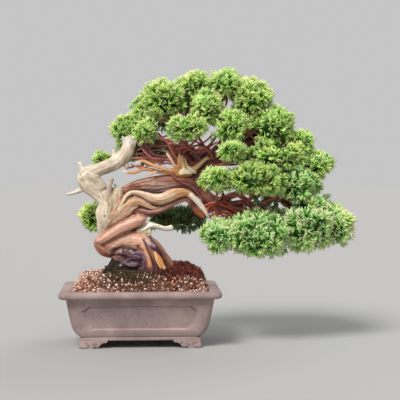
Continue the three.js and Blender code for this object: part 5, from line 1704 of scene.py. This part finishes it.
def panelCutters(turn, half, distance):
    # the recess with its cut corners, and the narrow groove over its top
    lean = math.atan2(*pot["wallSlope"])
    tall = (pot["panelTop"] - pot["panelBottom"]) / 2 / math.cos(lean)
    (highAlong, highUp), (lowAlong, lowUp) = pot["upperCut"], pot["lowerCut"]
    low = half - pot["lowerNarrower"]
    right = [(half - highAlong, tall), (half, tall - highUp), (low, lowUp - tall), (low - lowAlong, -tall)]
    corners = right + [(-u, v) for u, v in reversed(right)]
    middle = (pot["panelTop"] + pot["panelBottom"]) / 2
    plane = facePlane(turn, distance, middle, lean) @ Matrix.Translation((0, 0, -pot["panelSink"] / 1000))
    recess = extrudedOutline("recess", corners, 12, plane)
    # the side walls of the recess slope gently, the lower one less and the upper one not at all
    inner = plane.inverted()
    for vertex in recess.data.vertices:
        place = inner @ vertex.co
        if place.z > 0.001:
            rise = 0 if place.y > 0 else 6
            place.x *= (half + 28) / half
            place.y *= (tall + rise) / tall
            vertex.co = plane @ place
    wide, deep = pot["groove"]
    edge = sorted((u, v) for u, v in corners if v > 0)
    inset = [(u * (1 - wide / half), v - wide) for u, v in reversed(edge)]
    sunk = plane @ Matrix.Translation((0, 0, -deep / 1000))
    return recess, extrudedOutline("groove", edge + inset, deep + 6, sunk)


def cut(body, tool, way="DIFFERENCE", **options):
    # welds after each cut, so that no sliver stays
    applied(body, "BOOLEAN", operation=way, object=tool, solver="EXACT", **options)
    bpy.data.objects.remove(tool)
    editWhole(body)
    weld()
    bpy.ops.mesh.dissolve_degenerate(threshold=0.00001)
    bpy.ops.object.mode_set(mode="OBJECT")


def spiral(plane, centre, size, hand, thickness):
    # a raised scroll on a foot
    route = []
    for step in range(22):
        turn, reach = hand * step * 0.42, size * (1 - step / 27)
        spot = Vector((centre[0] + reach * math.cos(turn), centre[1] + reach * math.sin(turn), 0))
        route.append((*((np.array(plane @ (spot / 1000)) - home) * 1000), thickness))
    return route


def makeFeet():
    feet, routes = [], []
    waist = (pot["halfWidth"] - pot["waist"][0], pot["halfDepth"] - pot["waist"][1])
    for quarter in range(4):
        wide, deep = waist if quarter % 2 == 0 else waist[::-1]
        turn = quarter * math.pi / 2
        back = facePlane(turn, deep - pot["footThickness"], 0)
        front = facePlane(turn, deep + pot["scrollProud"], 0)
        for sign in (-1, 1):
            outline = [(sign * (wide - along), z) for along, z in pot["foot"]]
            feet.append(extrudedOutline(f"foot{quarter}{sign}", outline, pot["footThickness"], back))
            for number, (centre, size) in enumerate(pot["scrolls"]):
                spot = (sign * (wide - centre[0]), centre[1])
                routes.append(spiral(front, spot, size, sign * (-1) ** number, pot["scrollThickness"]))
    return joinPieces(feet, "feet"), tubesMesh("scrolls", routes, 1.2, 6)


def clayMaterial():
    material, shader = startMaterial("unglazedClay", rough=0.72, specular=0.35)
    place = objectPlace(material)
    cloud = noiseOver(material, place, 26.0, 5.0, 0.6)
    sand = noiseOver(material, place, 620.0, 4.0, 0.7)
    specks = cellsOver(material, place, 230.0)
    pale = cellsOver(material, place, 170.0)
    tones = [(0.32, colour("#8e7977")), (0.55, colour("#9f8a87")), (0.74, colour("#b09a95"))]
    shaded = blended(material, ramp(material, cloud, tones), ramp(material, sand, [(0.3, 0.84), (0.7, 1.12)]))
    darkSpeck = ramp(material, specks, [(0.0, 0.45), (0.16, 0.6), (0.22, 1.0)])
    shaded = blended(material, shaded, darkSpeck, 0.55)
    paleSpeck = ramp(material, pale, [(0.0, 0.22), (0.1, 0.16), (0.16, 0.0)])
    shaded = blended(material, shaded, paleSpeck, 0.35, "ADD")
    link(material, shaded, shader.inputs["Base Color"])
    bump(material, shader, sand, 0.35, 0.7)
    return material


def makePot():
    body = makePotBody()
    frontHalf, endHalf = pot["panelHalf"]
    front, end = pot["halfDepth"] - pot["wallInset"], pot["halfWidth"] - pot["wallInset"]
    for turn, half, distance in ((0, frontHalf, front), (math.pi, frontHalf, front),
                                 (math.pi / 2, endHalf, end), (-math.pi / 2, endHalf, end)):
        for tool in panelCutters(turn, half, distance):
            cut(body, tool)
    for sign in (-1, 1):
        clearSelection()
        bpy.ops.mesh.primitive_cylinder_add(
            vertices=32, radius=pot["drainRadius"] / 1000, depth=0.03,
            location=inMetres((sign * pot["drainX"], 0, 17)))
        cut(body, bpy.context.object)
    feet, scrolls = makeFeet()
    cut(body, feet, "UNION", use_self=True)
    body = joinPieces([body, scrolls], "clayPot")
    smoothShade(body, 32)
    return body


settle(makePot(), ["pot"], clayMaterial())
print("pot is thrown")


# Drain screens keep their solids

def screenMaterial():
    material, shader = startMaterial("screenPlastic", rough=0.55, specular=0.4)
    haze = noiseOver(material, objectPlace(material), 300.0, 3.0)
    tones = [(0.3, (0.012, 0.012, 0.014)), (0.7, (0.03, 0.03, 0.033))]
    link(material, ramp(material, haze, tones), shader.inputs["Base Color"])
    bump(material, shader, haze, 0.1, 0.4)
    return material


screens = screenMaterial()
for name in ("drain_screen_left", "drain_screen_right"):
    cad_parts[name].data.materials.clear()
    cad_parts[name].data.materials.append(screens)

# Floor

clearSelection()
bpy.ops.mesh.primitive_circle_add(vertices=96, radius=9, fill_type="NGON", location=inMetres((0, 0, 0)))
floor = bpy.context.object
floor.name = "floor"
floorMaterial, floorShader = startMaterial("paleFloor", rough=0.8, specular=0.2)
floorShader.inputs["Base Color"].default_value = (*studio["floor"], 1)
floor.data.materials.append(floorMaterial)

print("everything is in place")
